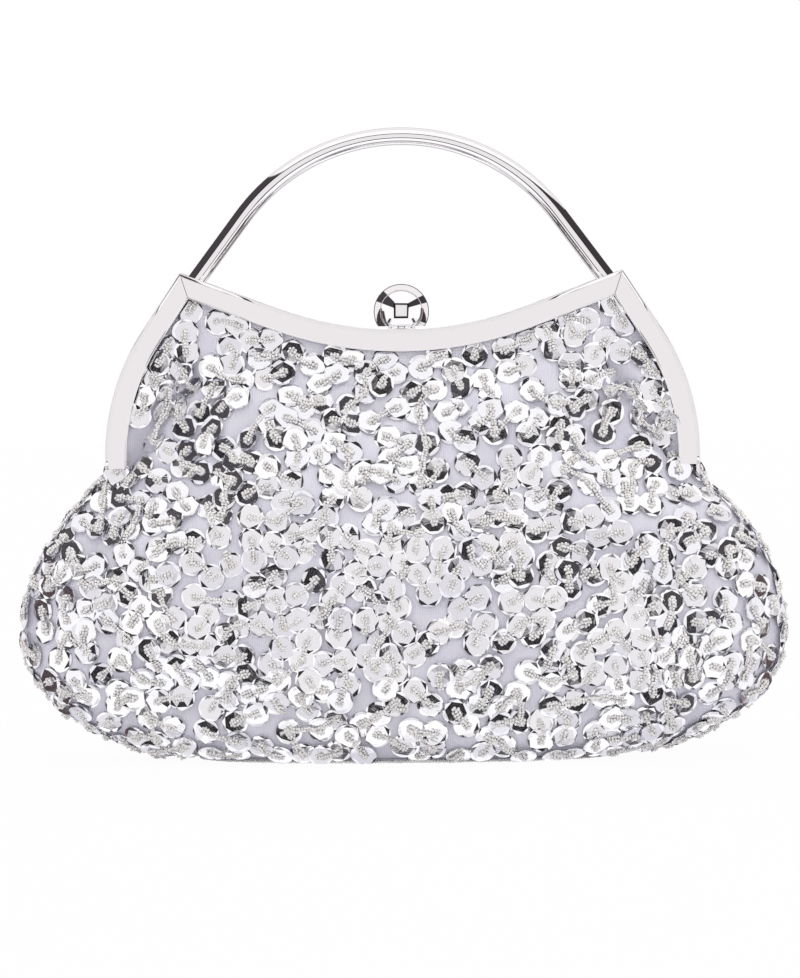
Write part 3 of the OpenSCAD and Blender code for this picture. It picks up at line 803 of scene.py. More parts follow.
def studio_world(scene):
    """A white tent with dark flags and a framed window around the lens."""
    world = bpy.data.worlds.new("Studio")
    scene.world = world
    world.use_nodes = True
    tree = world.node_tree
    tree.nodes.clear()
    part = tree.nodes.new("ShaderNodeSeparateXYZ")
    tree.links.new(put(tree, "ShaderNodeTexCoord", out="Generated"), part.inputs[0])
    # Where a mirror ball would show each direction, across, up and from its middle
    towards = sums(tree, "MULTIPLY", part.outputs["Y"], -1.0)
    square = sums(tree, "MULTIPLY", sums(tree, "ADD", towards, 1.0), 2.0)
    span = sums(tree, "SQRT", sums(tree, "MAXIMUM", square, 0.004))
    u = sums(tree, "DIVIDE", part.outputs["X"], span)
    w = sums(tree, "DIVIDE", part.outputs["Z"], span)
    square = sums(tree, "ADD", sums(tree, "MULTIPLY", u, u), sums(tree, "MULTIPLY", w, w))
    radius = sums(tree, "SQRT", square)
    colour = blend_colour(tree, ramp(tree, radius, 0.2, 0.72), (1.06, 1.05, 1.05, 1), (1.1, 1.09, 1.09, 1))
    # The tent's rear half, and the seam between its halves
    behind = ramp(tree, radius, 0.755, 0.765)
    colour = blend_colour(tree, behind, colour, (0.95, 0.92, 0.94, 1))
    seam = sums(tree, "MULTIPLY", ramp(tree, radius, 0.732, 0.74), ramp(tree, radius, 0.762, 0.752))
    colour = blend_colour(tree, sums(tree, "MULTIPLY", seam, 0.75), colour, (0.2, 0.18, 0.19, 1))
    for corners, soft, shade in STUDIO_AREAS:
        colour = blend_colour(tree, inside_area(tree, u, w, corners, soft), colour, shade)
    far_back = ramp(tree, radius, 0.965, 0.975)
    colour = blend_colour(tree, far_back, colour, (0.12, 0.11, 0.115, 1))
    # Cloth and paper get some more light than the metal shows, and the camera sees plain white
    path = tree.nodes.new("ShaderNodeLightPath")
    fill = 0.5
    lift = sums(tree, "ADD", sums(tree, "MULTIPLY", path.outputs["Is Diffuse Ray"], fill), 1.0)
    reflected = put(tree, "ShaderNodeBackground", colour, lift)
    plain = put(tree, "ShaderNodeBackground", (1, 1, 1, 1), 1.0)
    seen = put(tree, "ShaderNodeMixShader", path.outputs["Is Camera Ray"], reflected, plain)
    output = tree.nodes.new("ShaderNodeOutputWorld")
    tree.links.new(seen, output.inputs[0])


class BAG_OT_cloth(bpy.types.Operator):
    """Gathered satin of the front and back, and the base cloth"""

    bl_idname = "bag.cloth"
    bl_label = "Satin Cloth"

    def execute(self, context):
        cloth = settings("bag_cloth")
        fabric = satin("Lilac satin", tuple(cloth.satin_light), tuple(cloth.satin_dark), 9000.0, 0.00005)
        for side, seed, flip in (("front", cloth.front_seed, False), ("back", cloth.back_seed, True)):
            grid, normals = folded_cloth(cloth.inset, seed, flip)
            piece = thin_shell(f"{side}_cloth", grid, grid - normals * CLOTH_T)
            piece.data.materials.append(fabric)
            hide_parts(f"{side}_panel", f"{side}_panel_top")
            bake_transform(piece)
        base = base_cloth(cloth.inset)
        base.data.materials.append(fabric)
        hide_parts("bottom_panel")
        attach(base, "pouch")
        return {"FINISHED"}


def oval(turns):
    """A squarish oval of half sizes 1: its points across and deep at some turns."""
    return [np.sign(way) * np.abs(way) ** (2 / ROUND_POWER) for way in (np.cos(turns), np.sin(turns))]


# Rings of the base cloth from its middle outward: share of the base's size, and height
BASE_RINGS = [(0.02, 0.55), (0.25, 0.5), (0.5, 0.45), (0.75, 0.4), (0.93, 0.4), (0.985, 0.6), (1.0, 1.1)]


def base_cloth(inset):
    """The cloth under the base board: a flat oval with a soft rounded edge."""
    around = 120
    ring_x, ring_y = oval(np.linspace(0, 2 * math.pi, around, endpoint=False))
    half_w, half_d = BASE_W / 2 - inset, BASE_D / 2 - inset
    low = np.array([
        np.stack([ring_x * half_w * share, ring_y * half_d * share, np.full(around, z)], axis=1)
        for share, z in BASE_RINGS
    ])
    high = low + np.array([0, 0, CLOTH_T])
    middle_z = BASE_RINGS[0][1]
    middles = [[0, 0, middle_z], [0, 0, middle_z + CLOTH_T]]
    points = np.concatenate([low.reshape(-1, 3), high.reshape(-1, 3), middles])
    count, n = len(BASE_RINGS), len(BASE_RINGS) * around
    faces, tris = [], []
    for k in range(around):
        m = (k + 1) % around
        for r in range(count - 1):
            a, b = r * around, (r + 1) * around
            faces.append([a + k, b + k, b + m, a + m])
            faces.append([n + a + m, n + b + m, n + b + k, n + a + k])
        top = (count - 1) * around
        faces.append([top + k, n + top + k, n + top + m, top + m])
        tris.append([2 * n, k, m])
        tris.append([2 * n + 1, n + m, n + k])
    uv = points[:, :2] / np.array([BASE_W, BASE_D * 2.2]) + np.array([0.5, 0.25])
    uv[n : 2 * n] += np.array([0, 0.5])
    uv[-1] += np.array([0, 0.5])
    base = build_object("base_cloth", points, [np.array(faces), np.array(tris)], uv)
    outward(base)
    return base


# The lining: its thickness, its gap behind the cloth, and its height over the base board. Under the pouch it
# turns in over the board to a shelf and then to the middle seam, as shares of the width and depth.
LINING_T = 0.5
LINING_GAP = 0.5
LINING_Z = 4.3
SHELF = np.array([0.93, 0.85, 1])
MIDDLE_SEAM = np.array([0.9, 0.04, 1])


class BAG_OT_lining(bpy.types.Operator):
    """Satin lining inside the pouch"""

    bl_idname = "bag.lining"
    bl_label = "Lining"

    def execute(self, context):
        fabric = satin("Grey satin lining", (0.60, 0.60, 0.67, 1), (0.47, 0.47, 0.54, 1), 8000.0, 0.00004)
        cloth = settings("bag_cloth")
        inset = cloth.inset + CLOTH_T + LINING_GAP
        for side, seed, flip in (("front", cloth.front_seed, False), ("back", cloth.back_seed, True)):
            grid, normals = folded_cloth(inset, seed, flip)
            shelf = grid[-1] * SHELF
            shelf[:, 2] = np.maximum(shelf[:, 2], LINING_Z)
            turned_in = np.array([shelf, shelf * MIDDLE_SEAM])
            grid[..., 2] = np.maximum(grid[..., 2], LINING_Z)
            outer_rows = np.concatenate([grid, turned_in])
            inner_rows = np.concatenate([grid - normals * LINING_T, turned_in + [0, 0, LINING_T]])
            piece = thin_shell(f"{side}_satin_lining", outer_rows, inner_rows)
            piece.data.materials.append(fabric)
            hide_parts(f"{side}_lining", f"{side}_lining_top")
            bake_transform(piece)
        return {"FINISHED"}


# A sequin's film: the share of its radius inside the bevel, and its thickness
MIDDLE_SHARE = 0.83
FILM_T = 0.14


def sequin_template(corners, radius, bevel, dish):
    """A cup sequin: a faceted middle, bevelled facets out to a round rim, and its underside."""
    per_side = 4
    inner = radius * MIDDLE_SHARE
    half_side = math.pi / corners
    apothem = inner * math.cos(half_side)
    drop = (radius - apothem) * math.tan(bevel)
    top = [[0, 0, -inner * math.tan(dish)]]
    for k in range(corners):
        a = 2 * math.pi * k / corners
        top.append([inner * math.cos(a), inner * math.sin(a), 0])
    rim = corners * per_side
    for k in range(rim):
        a = 2 * math.pi * k / rim
        off_middle = (a + half_side) % (2 * math.pi / corners) - half_side
        reach = radius - inner * math.cos(half_side) / math.cos(off_middle)
        top.append([radius * math.cos(a), radius * math.sin(a), drop * reach / (radius - apothem)])
    top = np.array(top)
    count, start = len(top), 1 + corners
    tris, quads = [], []
    for k in range(corners):
        a, b = 1 + k, 1 + (k + 1) % corners
        tris.append([0, a, b])
        ring = [start + (k * per_side + i) % rim for i in range(per_side + 1)]
        half = per_side // 2
        for i in range(per_side):
            tris.append([a if i < half else b, ring[i], ring[i + 1]])
        tris.append([a, ring[half], b])
    tris = np.array(tris)
    under = tris[:, ::-1] + count
    for k in range(rim):
        a, b = start + k, start + (k + 1) % rim
        quads.append([a, a + count, b + count, b])
    points = np.concatenate([top, top - np.array([0, 0, FILM_T])])
    uv = points[:, :2] / (2 * radius) * 0.98 + 0.5
    return points, [np.concatenate([tris, under]), np.array(quads)], uv


def cloth_spots(grid, normals, rng, tries):
    """Random places on the beadable cloth, evenly likely, with the normals there and the cloth's area."""
    a = grid[:-1, :-1]
    side, fall = grid[:-1, 1:] - a, grid[1:, :-1] - a
    area = np.linalg.norm(np.cross(side, fall), axis=2)
    cell = rng.choice(area.size, tries, p=(area / area.sum()).ravel())
    r, c = np.unravel_index(cell, area.shape)
    s, t = rng.random(tries)[:, None], rng.random(tries)[:, None]

    def at(values):
        upper = mix(values[r, c], values[r, c + 1], s)
        lower = mix(values[r + 1, c], values[r + 1, c + 1], s)
        return mix(upper, lower, t)

    spots, ups = at(grid), at(normals)
    ups /= np.linalg.norm(ups, axis=1, keepdims=True)
    allowed = beadable(spots)
    return spots[allowed], ups[allowed], area.sum() * allowed.mean()


def distances(a, b):
    """Distances between all points of a and all points of b."""
    square = (a**2).sum(1)[:, None] + (b**2).sum(1)[None] - 2 * a @ b.T
    return np.sqrt(np.maximum(square, 0))


def even_spread(spots, count, area):
    """Which spots to keep for an even spread: the most crowded is dropped until only the count is left."""
    reach = math.sqrt(2 * area / (math.sqrt(3) * count))
    crowding = np.clip(1 - distances(spots, spots) / reach, 0, 1) ** 8
    np.fill_diagonal(crowding, 0)
    load = crowding.sum(axis=0)
    kept = np.ones(len(spots), bool)
    for _ in range(len(spots) - count):
        worst = int(np.argmax(np.where(kept, load, -1.0)))
        kept[worst] = False
        load -= crowding[worst]
    return np.flatnonzero(kept)


# How overlapping sequins come to rest: the rounds, how near two middles are, in radii, and how alike their
# cloth faces, as a cosine
SETTLE_ROUNDS = 80
OVERLAP_REACH = 1.96
SAME_FACING = 0.3
# Where a pair is tested along its overlap, the gap it keeps there, and how far one round lifts and turns it
TEST_PLACES = (-0.75, 0.0, 0.75)
FILM_GAP = 0.2
LIFT_SHARE, TURN_SHARE = 0.5, 0.8
# Height of a sequin's middle over the cloth: at first, at least, at least for its lean, and at most
FIRST_HEIGHT, LEAST_HEIGHT, LEAN_HEIGHT, MOST_HEIGHT = 0.5, 0.25, 0.6, 1.7


def settle(spots, ups, normals, radius, rng):
    """Lets overlapping sequins rest on each other like shingles, and returns their normals and heights."""
    count = len(spots)
    apart = distances(spots, spots)
    facing = ups @ ups.T > SAME_FACING
    first, second = np.nonzero(np.triu((apart < OVERLAP_REACH * radius) & facing, 1))
    rank = rng.permutation(count)
    swap = rank[first] > rank[second]
    low, high = np.where(swap, second, first), np.where(swap, first, second)
    across = np.cross(ups[low], spots[high] - spots[low])
    across /= np.maximum(np.linalg.norm(across, axis=1, keepdims=True), 1e-6)
    half = np.sqrt(np.maximum(radius**2 - (apart[low, high] / 2) ** 2, 0))
    middle = (spots[low] + spots[high]) / 2
    height = np.full(count, FIRST_HEIGHT)
    normals = normals.copy()
    for _ in range(SETTLE_ROUNDS):
        rise, turn, hits = np.zeros(count), np.zeros((count, 3)), np.ones(count)
        centres = spots + ups * height[:, None]
        for share in TEST_PLACES:
            at = middle + across * (half * share)[:, None]
            level = [((centres[k] - at) * normals[k]).sum(1) for k in (low, high)]
            push = np.maximum(level[0] + FILM_GAP - level[1], 0)
            for k, way in ((low, -1), (high, 1)):
                np.add.at(rise, k, way * push * LIFT_SHARE)
                np.add.at(turn, k, (at - spots[k]) * (-way * push * TURN_SHARE / radius**2)[:, None])
                np.add.at(hits, k, (push > 0) * 1.0)
        height = height + rise / hits
        normals += turn / hits[:, None]
        normals /= np.linalg.norm(normals, axis=1, keepdims=True)
        lean = normals - ups * (normals * ups).sum(1)[:, None]
        steep = np.maximum(1, np.linalg.norm(lean, axis=1) / MOST_LEAN)[:, None]
        normals = ups + lean / steep
        normals /= np.linalg.norm(normals, axis=1, keepdims=True)
        least = LEAST_HEIGHT + LEAN_HEIGHT * radius * np.linalg.norm(lean / steep, axis=1)
        height = np.clip(height, least, MOST_HEIGHT)
    return normals, height


# A sequin's middle stays this far inside the frame's face, and this high over the ground
RAIL_CLEAR = 1.9
GROUND_CLEAR = 3.0


def beadable(spots):
    """Where sequins are sewn: clear of the frame and of the base's underside."""
    gap = rail_gap(spots[:, 0], spots[:, 2])
    beside_rail = (spots[:, 2] > RAIL_FOOT_Z - 5) & (gap < RAIL_CLEAR)
    return ~beside_rail & (spots[:, 2] > GROUND_CLEAR)


def side_axes(ups, rng):
    """Two directions along the cloth for each normal, turned at random."""
    any_way = rng.normal(size=ups.shape)
    x = np.cross(ups, any_way)
    x /= np.linalg.norm(x, axis=1, keepdims=True)
    return x, np.cross(ups, x)


# Where the sequins of each side are sewn: places, normals and heights, for the beads that hold them
SEWN = {}

# Places tried on each side before the crowded ones are dropped
TRIES = 3400


class BAG_OT_sequins(bpy.types.Operator):
    """Cup sequins sewn over the front and back"""

    bl_idname = "bag.sequins"
    bl_label = "Sequins"

    def execute(self, context):
        cloth, sequins = settings("bag_cloth"), settings("bag_sequins")
        film = sequin_film(tuple(sequins.tint), tuple(sequins.shade))
        rng = np.random.default_rng(sequins.seed)
        sides = [
            cloth_spots(*folded_cloth(cloth.inset, seed, flip), rng, TRIES)
            for seed, flip in ((cloth.front_seed, False), (cloth.back_seed, True))
        ]
        spots, ups = (np.concatenate([side[k] for side in sides]) for k in (0, 1))
        area = sides[0][2] + sides[1][2]
        kept = even_spread(spots, int(area / sequins.share), area)
        in_front = kept < len(sides[0][0])
        spots, ups = spots[kept], ups[kept]
        tilt = np.abs(rng.normal(0, sequins.tilt, len(spots)))
        x, _ = side_axes(ups, rng)
        normals = ups * np.cos(tilt)[:, None] + x * np.sin(tilt)[:, None]
        normals, height = settle(spots, ups, normals, sequins.diameter / 2, rng)
        for side, members in (("front", in_front), ("back", ~in_front)):
            SEWN[side] = (spots[members], ups[members], height[members])
            sew_sequins(side, *SEWN[side], normals[members], sequins, film, rng)
        return {"FINISHED"}


# Kinds of sequin: corners, which way the bevel and middle turn, angle of the middle's dish, and share of all
SEQUIN_KINDS = [
    (6, 1, 0.02, 0.3),
    (6, -1, 0.02, 0.3),
    (7, 1, 0.035, 0.12),
    (6, -1, 0.07, 0.12),
    (8, 1, 0.03, 0.08),
    (7, -1, 0.05, 0.08),
]


def sew_sequins(side, spots, ups, height, normals, sequins, film, rng):
    """Makes the sequins of one side as one piece of separate closed solids."""
    count = len(spots)
    centres = spots + ups * height[:, None]
    kinds = rng.choice(len(SEQUIN_KINDS), count, p=[kind[3] for kind in SEQUIN_KINDS])
    points, faces, uvs, shades, base, start = [], [], [], [], 0, 0
    for kind, (corners, way, dish, _) in enumerate(SEQUIN_KINDS):
        members = np.flatnonzero(kinds == kind)
        template, template_faces, uv = sequin_template(
            corners, sequins.diameter / 2, way * sequins.bevel, way * dish)
        ax, ay = side_axes(normals[members], rng)
        p, f, owner = scatter(template, template_faces, centres[members], ax, ay, normals[members])
        p[:, 2] = np.maximum(p[:, 2], LOWEST)
        points.append(p)
        faces += [g + base for g in f]
        base += len(p)
        shades.append(rng.beta(2.0, 1.2, len(members))[owner])
        uvs.append(cell_uv(uv, start, len(members), count, 0.04))
        start += len(members)
    piece = build_object(f"{side}_sequins", np.concatenate(points), faces, np.concatenate(uvs), even=False)
    point_values(piece, "own_shade", np.concatenate(shades))
    piece.data.materials.append(film)
    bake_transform(piece)


# A bead's section: radius at each ring, as a share of the bead's own, and height in diameters
BEAD_RINGS = [(0.55, -0.42), (1.0, -0.2), (1.0, 0.2), (0.55, 0.42)]


def bead_template():
    """A short rounded bead of diameter 1."""
    sides, rings = 6, len(BEAD_RINGS)
    turns = [2 * math.pi * k / sides for k in range(sides)]
    points = [[r * math.cos(a) / 2, r * math.sin(a) / 2, h] for r, h in BEAD_RINGS for a in turns]
    at = np.arange(rings * sides).reshape(rings, sides)
    after = np.roll(at, -1, axis=1)
    quads = np.stack([at[:-1], after[:-1], after[1:], at[1:]], axis=-1).reshape(-1, 4)
    uv = [[(k + 0.5) / sides, (i + 0.5) / rings] for i in range(rings) for k in range(sides)]
    return np.array(points), [quads, at[:1, ::-1], at[-1:]], np.array(uv)


# How far apart two sequins can be that one strand joins
STRAND_REACH = 13


def pair_up(spots, rng):
    """Pairs of neighbouring sequins that one strand joins, and the sequins left alone."""
    free, pairs, alone = set(range(len(spots))), [], []
    for i in rng.permutation(len(spots)):
        if i not in free:
            continue
        free.discard(i)
        others = np.array(sorted(free))
        if len(others):
            d = np.linalg.norm(spots[others] - spots[i], axis=1)
            if d.min() < STRAND_REACH:
                j = int(others[d.argmin()])
                free.discard(j)
                pairs.append((int(i), j))
                continue
        alone.append(int(i))
    return pairs, alone


# A strand: how far its clumps reach past the sequins' middles, where their round end closes, its widest and
# narrowest place in beads, and how far the clump takes to narrow
CLUMP_PAST, CLUMP_END = 1.1, 1.7
CLUMP_W, NECK_W, NECK_OVER = 3.0, 1.9, 3.0
# Steps along the strand, across it and up to its second layer, in beads
STEP, STEP_ACROSS, STEP_UP = 0.84, 0.93, 0.66
# Height of the first layer over the film, in beads, and how much the neck lifts off
FIRST_LAYER, NECK_LIFT = 0.42, 0.35
# Unevenness: the strand's bow, its width in beads, and each bead's place across and all round
BOW, WIDTH_PLAY, ACROSS_PLAY, BEAD_PLAY = 0.6, 0.4, 0.09, 0.08


def strand(a, b, na, nb, ha, hb, rng, size):
    """Middles of the beads that join two sequins: a broad clump at each end and a narrower neck between."""
    length = max(np.linalg.norm(b - a), 1e-6)
    steps = max(3, int(round((length + 2 * CLUMP_PAST) / (size * STEP))))
    beads = []
    bow = rng.normal(0, BOW)
    for s in np.linspace(-CLUMP_PAST, length + CLUMP_PAST, steps):
        t = min(max(s / length, 0), 1)
        up = mix(na, nb, t)
        up = up / np.linalg.norm(up)
        across = np.cross(up, (b - a) / length)
        outside = max(-s, s - length, 0)
        inside = min(max(s, 0), max(length - s, 0))
        if outside:
            wide = CLUMP_W * size * math.sqrt(max(0, 1 - (outside / CLUMP_END) ** 2))
        else:
            wide = size * float(mix(CLUMP_W, NECK_W, smooth(inside / NECK_OVER)))
        number = max(1, int(round(wide / size + rng.uniform(-WIDTH_PLAY, WIDTH_PLAY))))
        level = mix(ha, hb, t) + FIRST_LAYER * size + NECK_LIFT * math.sin(math.pi * t)
        middle = a + (b - a) * (s / length) + across * bow * math.sin(math.pi * t)
        for layer, many in ((0, number), (1, number - 2)):
            for k in range(max(0, many)):
                off = (k - (many - 1) / 2) * size * STEP_ACROSS
                raised = level + layer * size * STEP_UP
                place = middle + across * (off + rng.normal(0, ACROSS_PLAY)) + up * raised
                beads.append(place + rng.normal(0, BEAD_PLAY, 3))
    return np.array(beads)


# Length of the strand on a sequin that has no neighbour
LONE_STRAND = 3.0


class BAG_OT_beads(bpy.types.Operator):
    """Silver-lined seed beads that hold the sequins and edge the base"""

    bl_idname = "bag.beads"
    bl_label = "Seed Beads"

    def execute(self, context):
        beads = settings("bag_beads")
        glass = lined_bead(tuple(beads.clear), tuple(beads.deep))
        rng = np.random.default_rng(beads.seed)
        size = beads.diameter
        for side, (spots, ups, height) in SEWN.items():
            pairs, alone = pair_up(spots, rng)
            again = rng.permutation(len(spots))[: int(len(spots) * beads.again)]
            more, _ = pair_up(spots[again], rng)
            known = {frozenset(pair) for pair in pairs}
            second = [(int(again[i]), int(again[j])) for i, j in more]
            pairs += [pair for pair in second if frozenset(pair) not in known]
            places = [
                strand(spots[i], spots[j], ups[i], ups[j], height[i], height[j], rng, size) for i, j in pairs
            ]
            for i in alone:
                x, _ = side_axes(ups[i : i + 1], rng)
                end = spots[i] + x[0] * LONE_STRAND
                places.append(strand(spots[i], end, ups[i], ups[i], height[i], height[i], rng, size))
            places = np.concatenate(places)
            places[:, 2] = np.maximum(places[:, 2], LOWEST + size / 2)
            thread_beads(side, places, size, glass, rng)
        edge = base_edge_line(settings("bag_cloth").inset, size)
        piece = bead_mesh("base_edge_beads", edge, size, rng)
        piece.data.materials.append(glass)
        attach(piece, "pouch")
        return {"FINISHED"}


def base_edge_line(inset, size):
    """Middles of the beads along the base's edge."""
    proud, height, count, step = 1.5, 0.75, 2000, 0.92
    x, y = oval(np.linspace(0, 2 * math.pi, count, endpoint=False))
    line = np.stack(
        [x * (BASE_W / 2 - inset + proud), y * (BASE_D / 2 - inset + proud), np.full(count, height)], axis=1)
    travelled = np.concatenate([[0], np.cumsum(np.linalg.norm(np.diff(line, axis=0), axis=1))])
    places = np.arange(0, travelled[-1], size * step)
    return np.stack([np.interp(places, travelled, line[:, k]) for k in range(3)], axis=1)


def bead_mesh(name, places, size, rng):
    """Beads at their places as one piece of separate closed solids, each turned at random."""
    template, faces, uv = bead_template()
    count = len(places)
    axes = rng.normal(size=(count, 3))
    axes /= np.linalg.norm(axes, axis=1, keepdims=True)
    ax, ay = side_axes(axes, rng)
    scale = size * rng.uniform(0.88, 1.08, (count, 1)) * np.array([[1, 1, 0.95]])
    points, grown, owner = scatter(template, faces, places, ax, ay, axes, scale)
    piece = build_object(name, points, grown, cell_uv(uv, 0, count, count, 0.06))
    point_values(piece, "own_shade", rng.random(count)[owner])
    return piece


def thread_beads(side, places, size, glass, rng):
    """Splits one side's beads into strips from left to right, so that no piece is too heavy."""
    order = np.argsort(places[:, 0])
    for part, chosen in enumerate(np.array_split(order, 4)):
        piece = bead_mesh(f"{side}_beads_{part + 1}", places[chosen], size, rng)
        piece.data.materials.append(glass)
        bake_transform(piece)


class BAG_OT_metalwork(bpy.types.Operator):
    """Plating of the frame, handle, hinges and clasp, with rounded edges, and dark strips of painted shade
    along the mitres
    """

    bl_idname = "bag.metalwork"
    bl_label = "Metalwork"

    def execute(self, context):
        metal = settings("bag_metal")
        colour = tuple(metal.plating)
        bright = plating("Bright plating", colour, 0.035, 0.04)
        ball = plating("Polished ball plating", colour, 0.012, 0.02, 60.0, 0.0000002)
        inner = plating("Inner plating", (0.86, 0.86, 0.865, 1), 0.12, 0.12)
        wire = plating("Spring wire", (0.66, 0.66, 0.68, 1), 0.22, 0.15, 500.0)
        # Painted shade: a near-black plating for the strips along the mitres, where the hairline groove's
        # shade falls
        dark = plating("Tarnished seam", (0.16, 0.15, 0.155, 1), 0.35, 0.1)
        for side, way_y in (("front", -1), ("back", 1)):
            frame_edges(side, way_y, bright)
            # Dark strips of painted shade along the mitres
            painted_mitre_shade(side, way_y, dark)
        finish = {
            "handle_tube": (ball, 0),
            "clasp_ball": (ball, 0),
            "handle_studs": (inner, 0),
            "hinge_rivets": (bright, 0),
            "clasp_lever": (bright, 0.12),
            "clasp_pin": (inner, 0),
            "clasp_bracket": (inner, 0.08),
            "catch_plate": (inner, 0.12),
            "clasp_spring": (wire, 0),
        }
        for side in ("front", "back"):
            for part in ("top", "left", "right"):
                finish[f"{side}_{part}_rail"] = (bright, metal.edge)
        for name, (material, edge) in finish.items():
            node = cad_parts[name]
            node.data.materials.clear()
            node.data.materials.append(material)
            if edge:
                round_edges(node, edge * MM)
        return {"FINISHED"}


def top_outline(n):
    """The top rail's outline moved inward by n, in the front view."""
    turns = np.linspace(-TOP_SLOPE, TOP_SLOPE, 49)
    dip = np.stack([(DIP_R + n) * np.sin(turns), DIP_Z + DIP_R - (DIP_R + n) * np.cos(turns)], axis=1)
    corner = inner_corner(n)
    return np.concatenate([[corner * [-1, 1]], dip, [corner]])


def side_outline(n):
    """The right side rail's outline moved inward by n, in the front view."""
    turns = np.linspace(LEAN, 0, 37)
    across = SIDE_X - SIDE_R + (SIDE_R - n) * np.cos(turns)
    bend = np.stack([across, BEND_Z + (SIDE_R - n) * np.sin(turns)], axis=1)
    return np.concatenate([[inner_corner(n)], bend, [[SIDE_X - n, RAIL_FOOT_Z]]])


def arc(n, d, radius, start, end):
    """Points of a section's round corner, between two angles in degrees."""
    turns = np.radians(np.linspace(start, end, 8))
    return [(n + radius * math.cos(t), d + radius * math.sin(t)) for t in turns]


# Sections of the rolled outer edge and of the rounded inner edge: inset from the outline, and depth
ROLLED_EDGE = [
    (-0.04, 5.6),
    *arc(0.42, 6.58, 0.46, 180, 90),
    *arc(0.80, 6.70, 0.34, 90, 0),
    (1.14, 6.4),
    (0.6, 5.6),
]
INNER_EDGE = [(6.1, 6.2), (6.1, 6.715), *arc(6.38, 6.5, 0.255, 90, 0), (6.635, 5.74), (6.3, 5.74)]


def swept_edge(section, outline, mirror_x, way_y):
    """Points and faces of a section swept along one rail."""
    lines = np.array([outline(n) for n, _ in section])
    depth = np.array([d for _, d in section])
    rows, cols = lines.shape[:2]
    deep = np.repeat(depth[:, None], cols, axis=1) * way_y
    points = np.stack([lines[..., 0] * mirror_x, deep, lines[..., 1]], axis=-1)
    at = np.arange(rows * cols).reshape(rows, cols)
    after = np.roll(at, -1, axis=0)
    quads = np.stack([at[:, :-1], at[:, 1:], after[:, 1:], after[:, :-1]], axis=-1).reshape(-1, 4)
    return points.reshape(-1, 3), quads, at[:, 0][None], at[:, -1][None, ::-1]


def frame_edges(side, way_y, material):
    """Rolled and rounded edges of one half frame's face."""
    points, faces, base = [], [], 0
    for section in (ROLLED_EDGE, INNER_EDGE):
        for outline, mirror_x in ((top_outline, 1), (side_outline, 1), (side_outline, -1)):
            p, *grown = swept_edge(section, outline, mirror_x, way_y)
            points.append(p)
            faces += [g + base for g in grown]
            base += len(p)
    piece = build_object(f"{side}_rolled_edges", np.concatenate(points), faces)
    outward(piece)
    piece.data.materials.append(material)
    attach(piece, f"{side}_frame")


# The painted shade strip at a mitre's seam: where it starts and ends inward from the corner, half its width,
# and its two depths
SEAM_START, SEAM_END = 0.9, 6.5
SEAM_HALF_W = 0.09
SEAM_DEPTHS = (6.6, 6.716)


def painted_mitre_shade(side, way_y, material):
    """Fine dark strips of painted shade where the rails of one half frame meet at the upper corners, in
    place of the shade in the mitre's hairline groove.
    """
    a, b = inner_corner(SEAM_START), inner_corner(SEAM_END)
    across = np.array([b[1] - a[1], a[0] - b[0]]) / np.linalg.norm(b - a) * SEAM_HALF_W
    ring = np.array([a - across, a + across, b + across, b - across])
    box = np.array([[0, 1, 2, 3], [7, 6, 5, 4], [0, 4, 5, 1], [1, 5, 6, 2], [2, 6, 7, 3], [3, 7, 4, 0]])
    points = [
        np.stack([ring[:, 0] * mirror_x, np.full(4, depth * way_y), ring[:, 1]], axis=1)
        for mirror_x in (1, -1)
        for depth in SEAM_DEPTHS
    ]
    name = f"{side}_mitre_seams"
    piece = build_object(name, np.concatenate(points), [box, box + 8], even=False)
    outward(piece)
    piece.data.materials.append(material)
    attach(piece, f"{side}_frame")


def round_edges(node, width):
    """Rounds a node's sharp edges with modifiers, and leaves its own mesh as it is."""
    weld = node.modifiers.new("Weld", "WELD")
    weld.merge_threshold = 1e-6
    bevel = node.modifiers.new("Rounded edges", "BEVEL")
    bevel.width = width
    bevel.segments = 3
    bevel.limit_method = "ANGLE"
    bevel.angle_limit = math.radians(35)


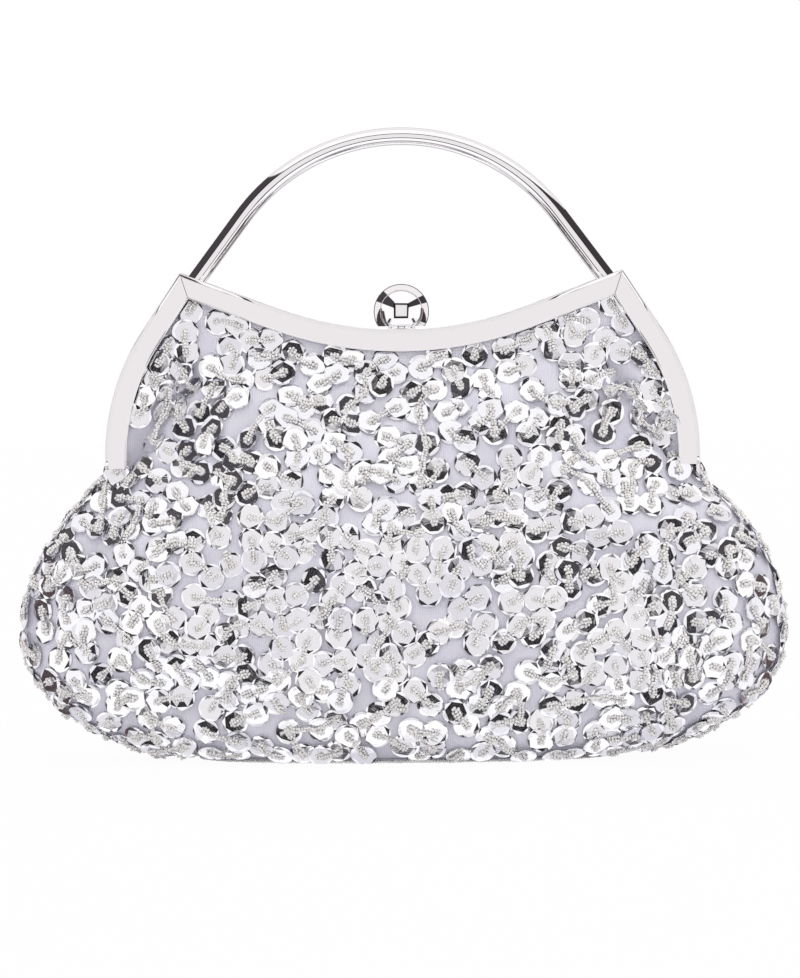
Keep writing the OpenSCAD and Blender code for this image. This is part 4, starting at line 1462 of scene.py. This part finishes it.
class BAG_OT_stiffening(bpy.types.Operator):
    """Base board and packing cords, hidden inside"""

    bl_idname = "bag.stiffening"
    bl_label = "Board and Cords"

    def execute(self, context):
        card = fibre("Pressed card", (0.36, 0.28, 0.2, 1), (0.2, 0.15, 0.1, 1), 900.0)
        paper = fibre("Twisted paper", (0.82, 0.78, 0.68, 1), (0.6, 0.55, 0.45, 1), 1400.0)
        finish = {"base_board": card, "front_packing_cord": paper, "back_packing_cord": paper}
        for name, material in finish.items():
            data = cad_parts[name].data
            data.materials.clear()
            data.materials.append(material)
        return {"FINISHED"}


class BAG_PT_panel(bpy.types.Panel):
    """Lists the bag's pieces in the sidebar"""

    bl_idname = "BAG_PT_panel"
    bl_label = "Evening Bag"
    bl_space_type = "VIEW_3D"
    bl_region_type = "UI"
    bl_category = "Evening Bag"

    def draw(self, context):
        for name, group in SETTINGS.items():
            box = self.layout.box()
            for key in group.__annotations__:
                box.prop(getattr(context.scene, name), key)
        for operator in OPERATORS:
            self.layout.operator(operator.bl_idname)


SETTINGS = {
    "bag_cloth": ClothSettings,
    "bag_sequins": SequinSettings,
    "bag_beads": BeadSettings,
    "bag_metal": MetalSettings,
    "bag_stage": StageSettings,
}
OPERATORS = [
    BAG_OT_stage,
    BAG_OT_cloth,
    BAG_OT_lining,
    BAG_OT_sequins,
    BAG_OT_beads,
    BAG_OT_metalwork,
    BAG_OT_stiffening,
]


def register():
    """Makes the settings, operators and panel known to Blender."""
    for cls in [*SETTINGS.values(), *OPERATORS, BAG_PT_panel]:
        bpy.utils.register_class(cls)
    for name, group in SETTINGS.items():
        setattr(bpy.types.Scene, name, bpy.props.PointerProperty(type=group))


def unregister():
    """Takes them away again."""
    for name in SETTINGS:
        delattr(bpy.types.Scene, name)
    for cls in reversed([*SETTINGS.values(), *OPERATORS, BAG_PT_panel]):
        bpy.utils.unregister_class(cls)


def main():
    """Builds every piece in order."""
    register()
    for operator in OPERATORS:
        done = getattr(bpy.ops.bag, operator.bl_idname.split(".")[1])()
        if done != {"FINISHED"}:
            raise RuntimeError(f"{operator.bl_label} was not built")


if __name__ == "__main__":
    main()
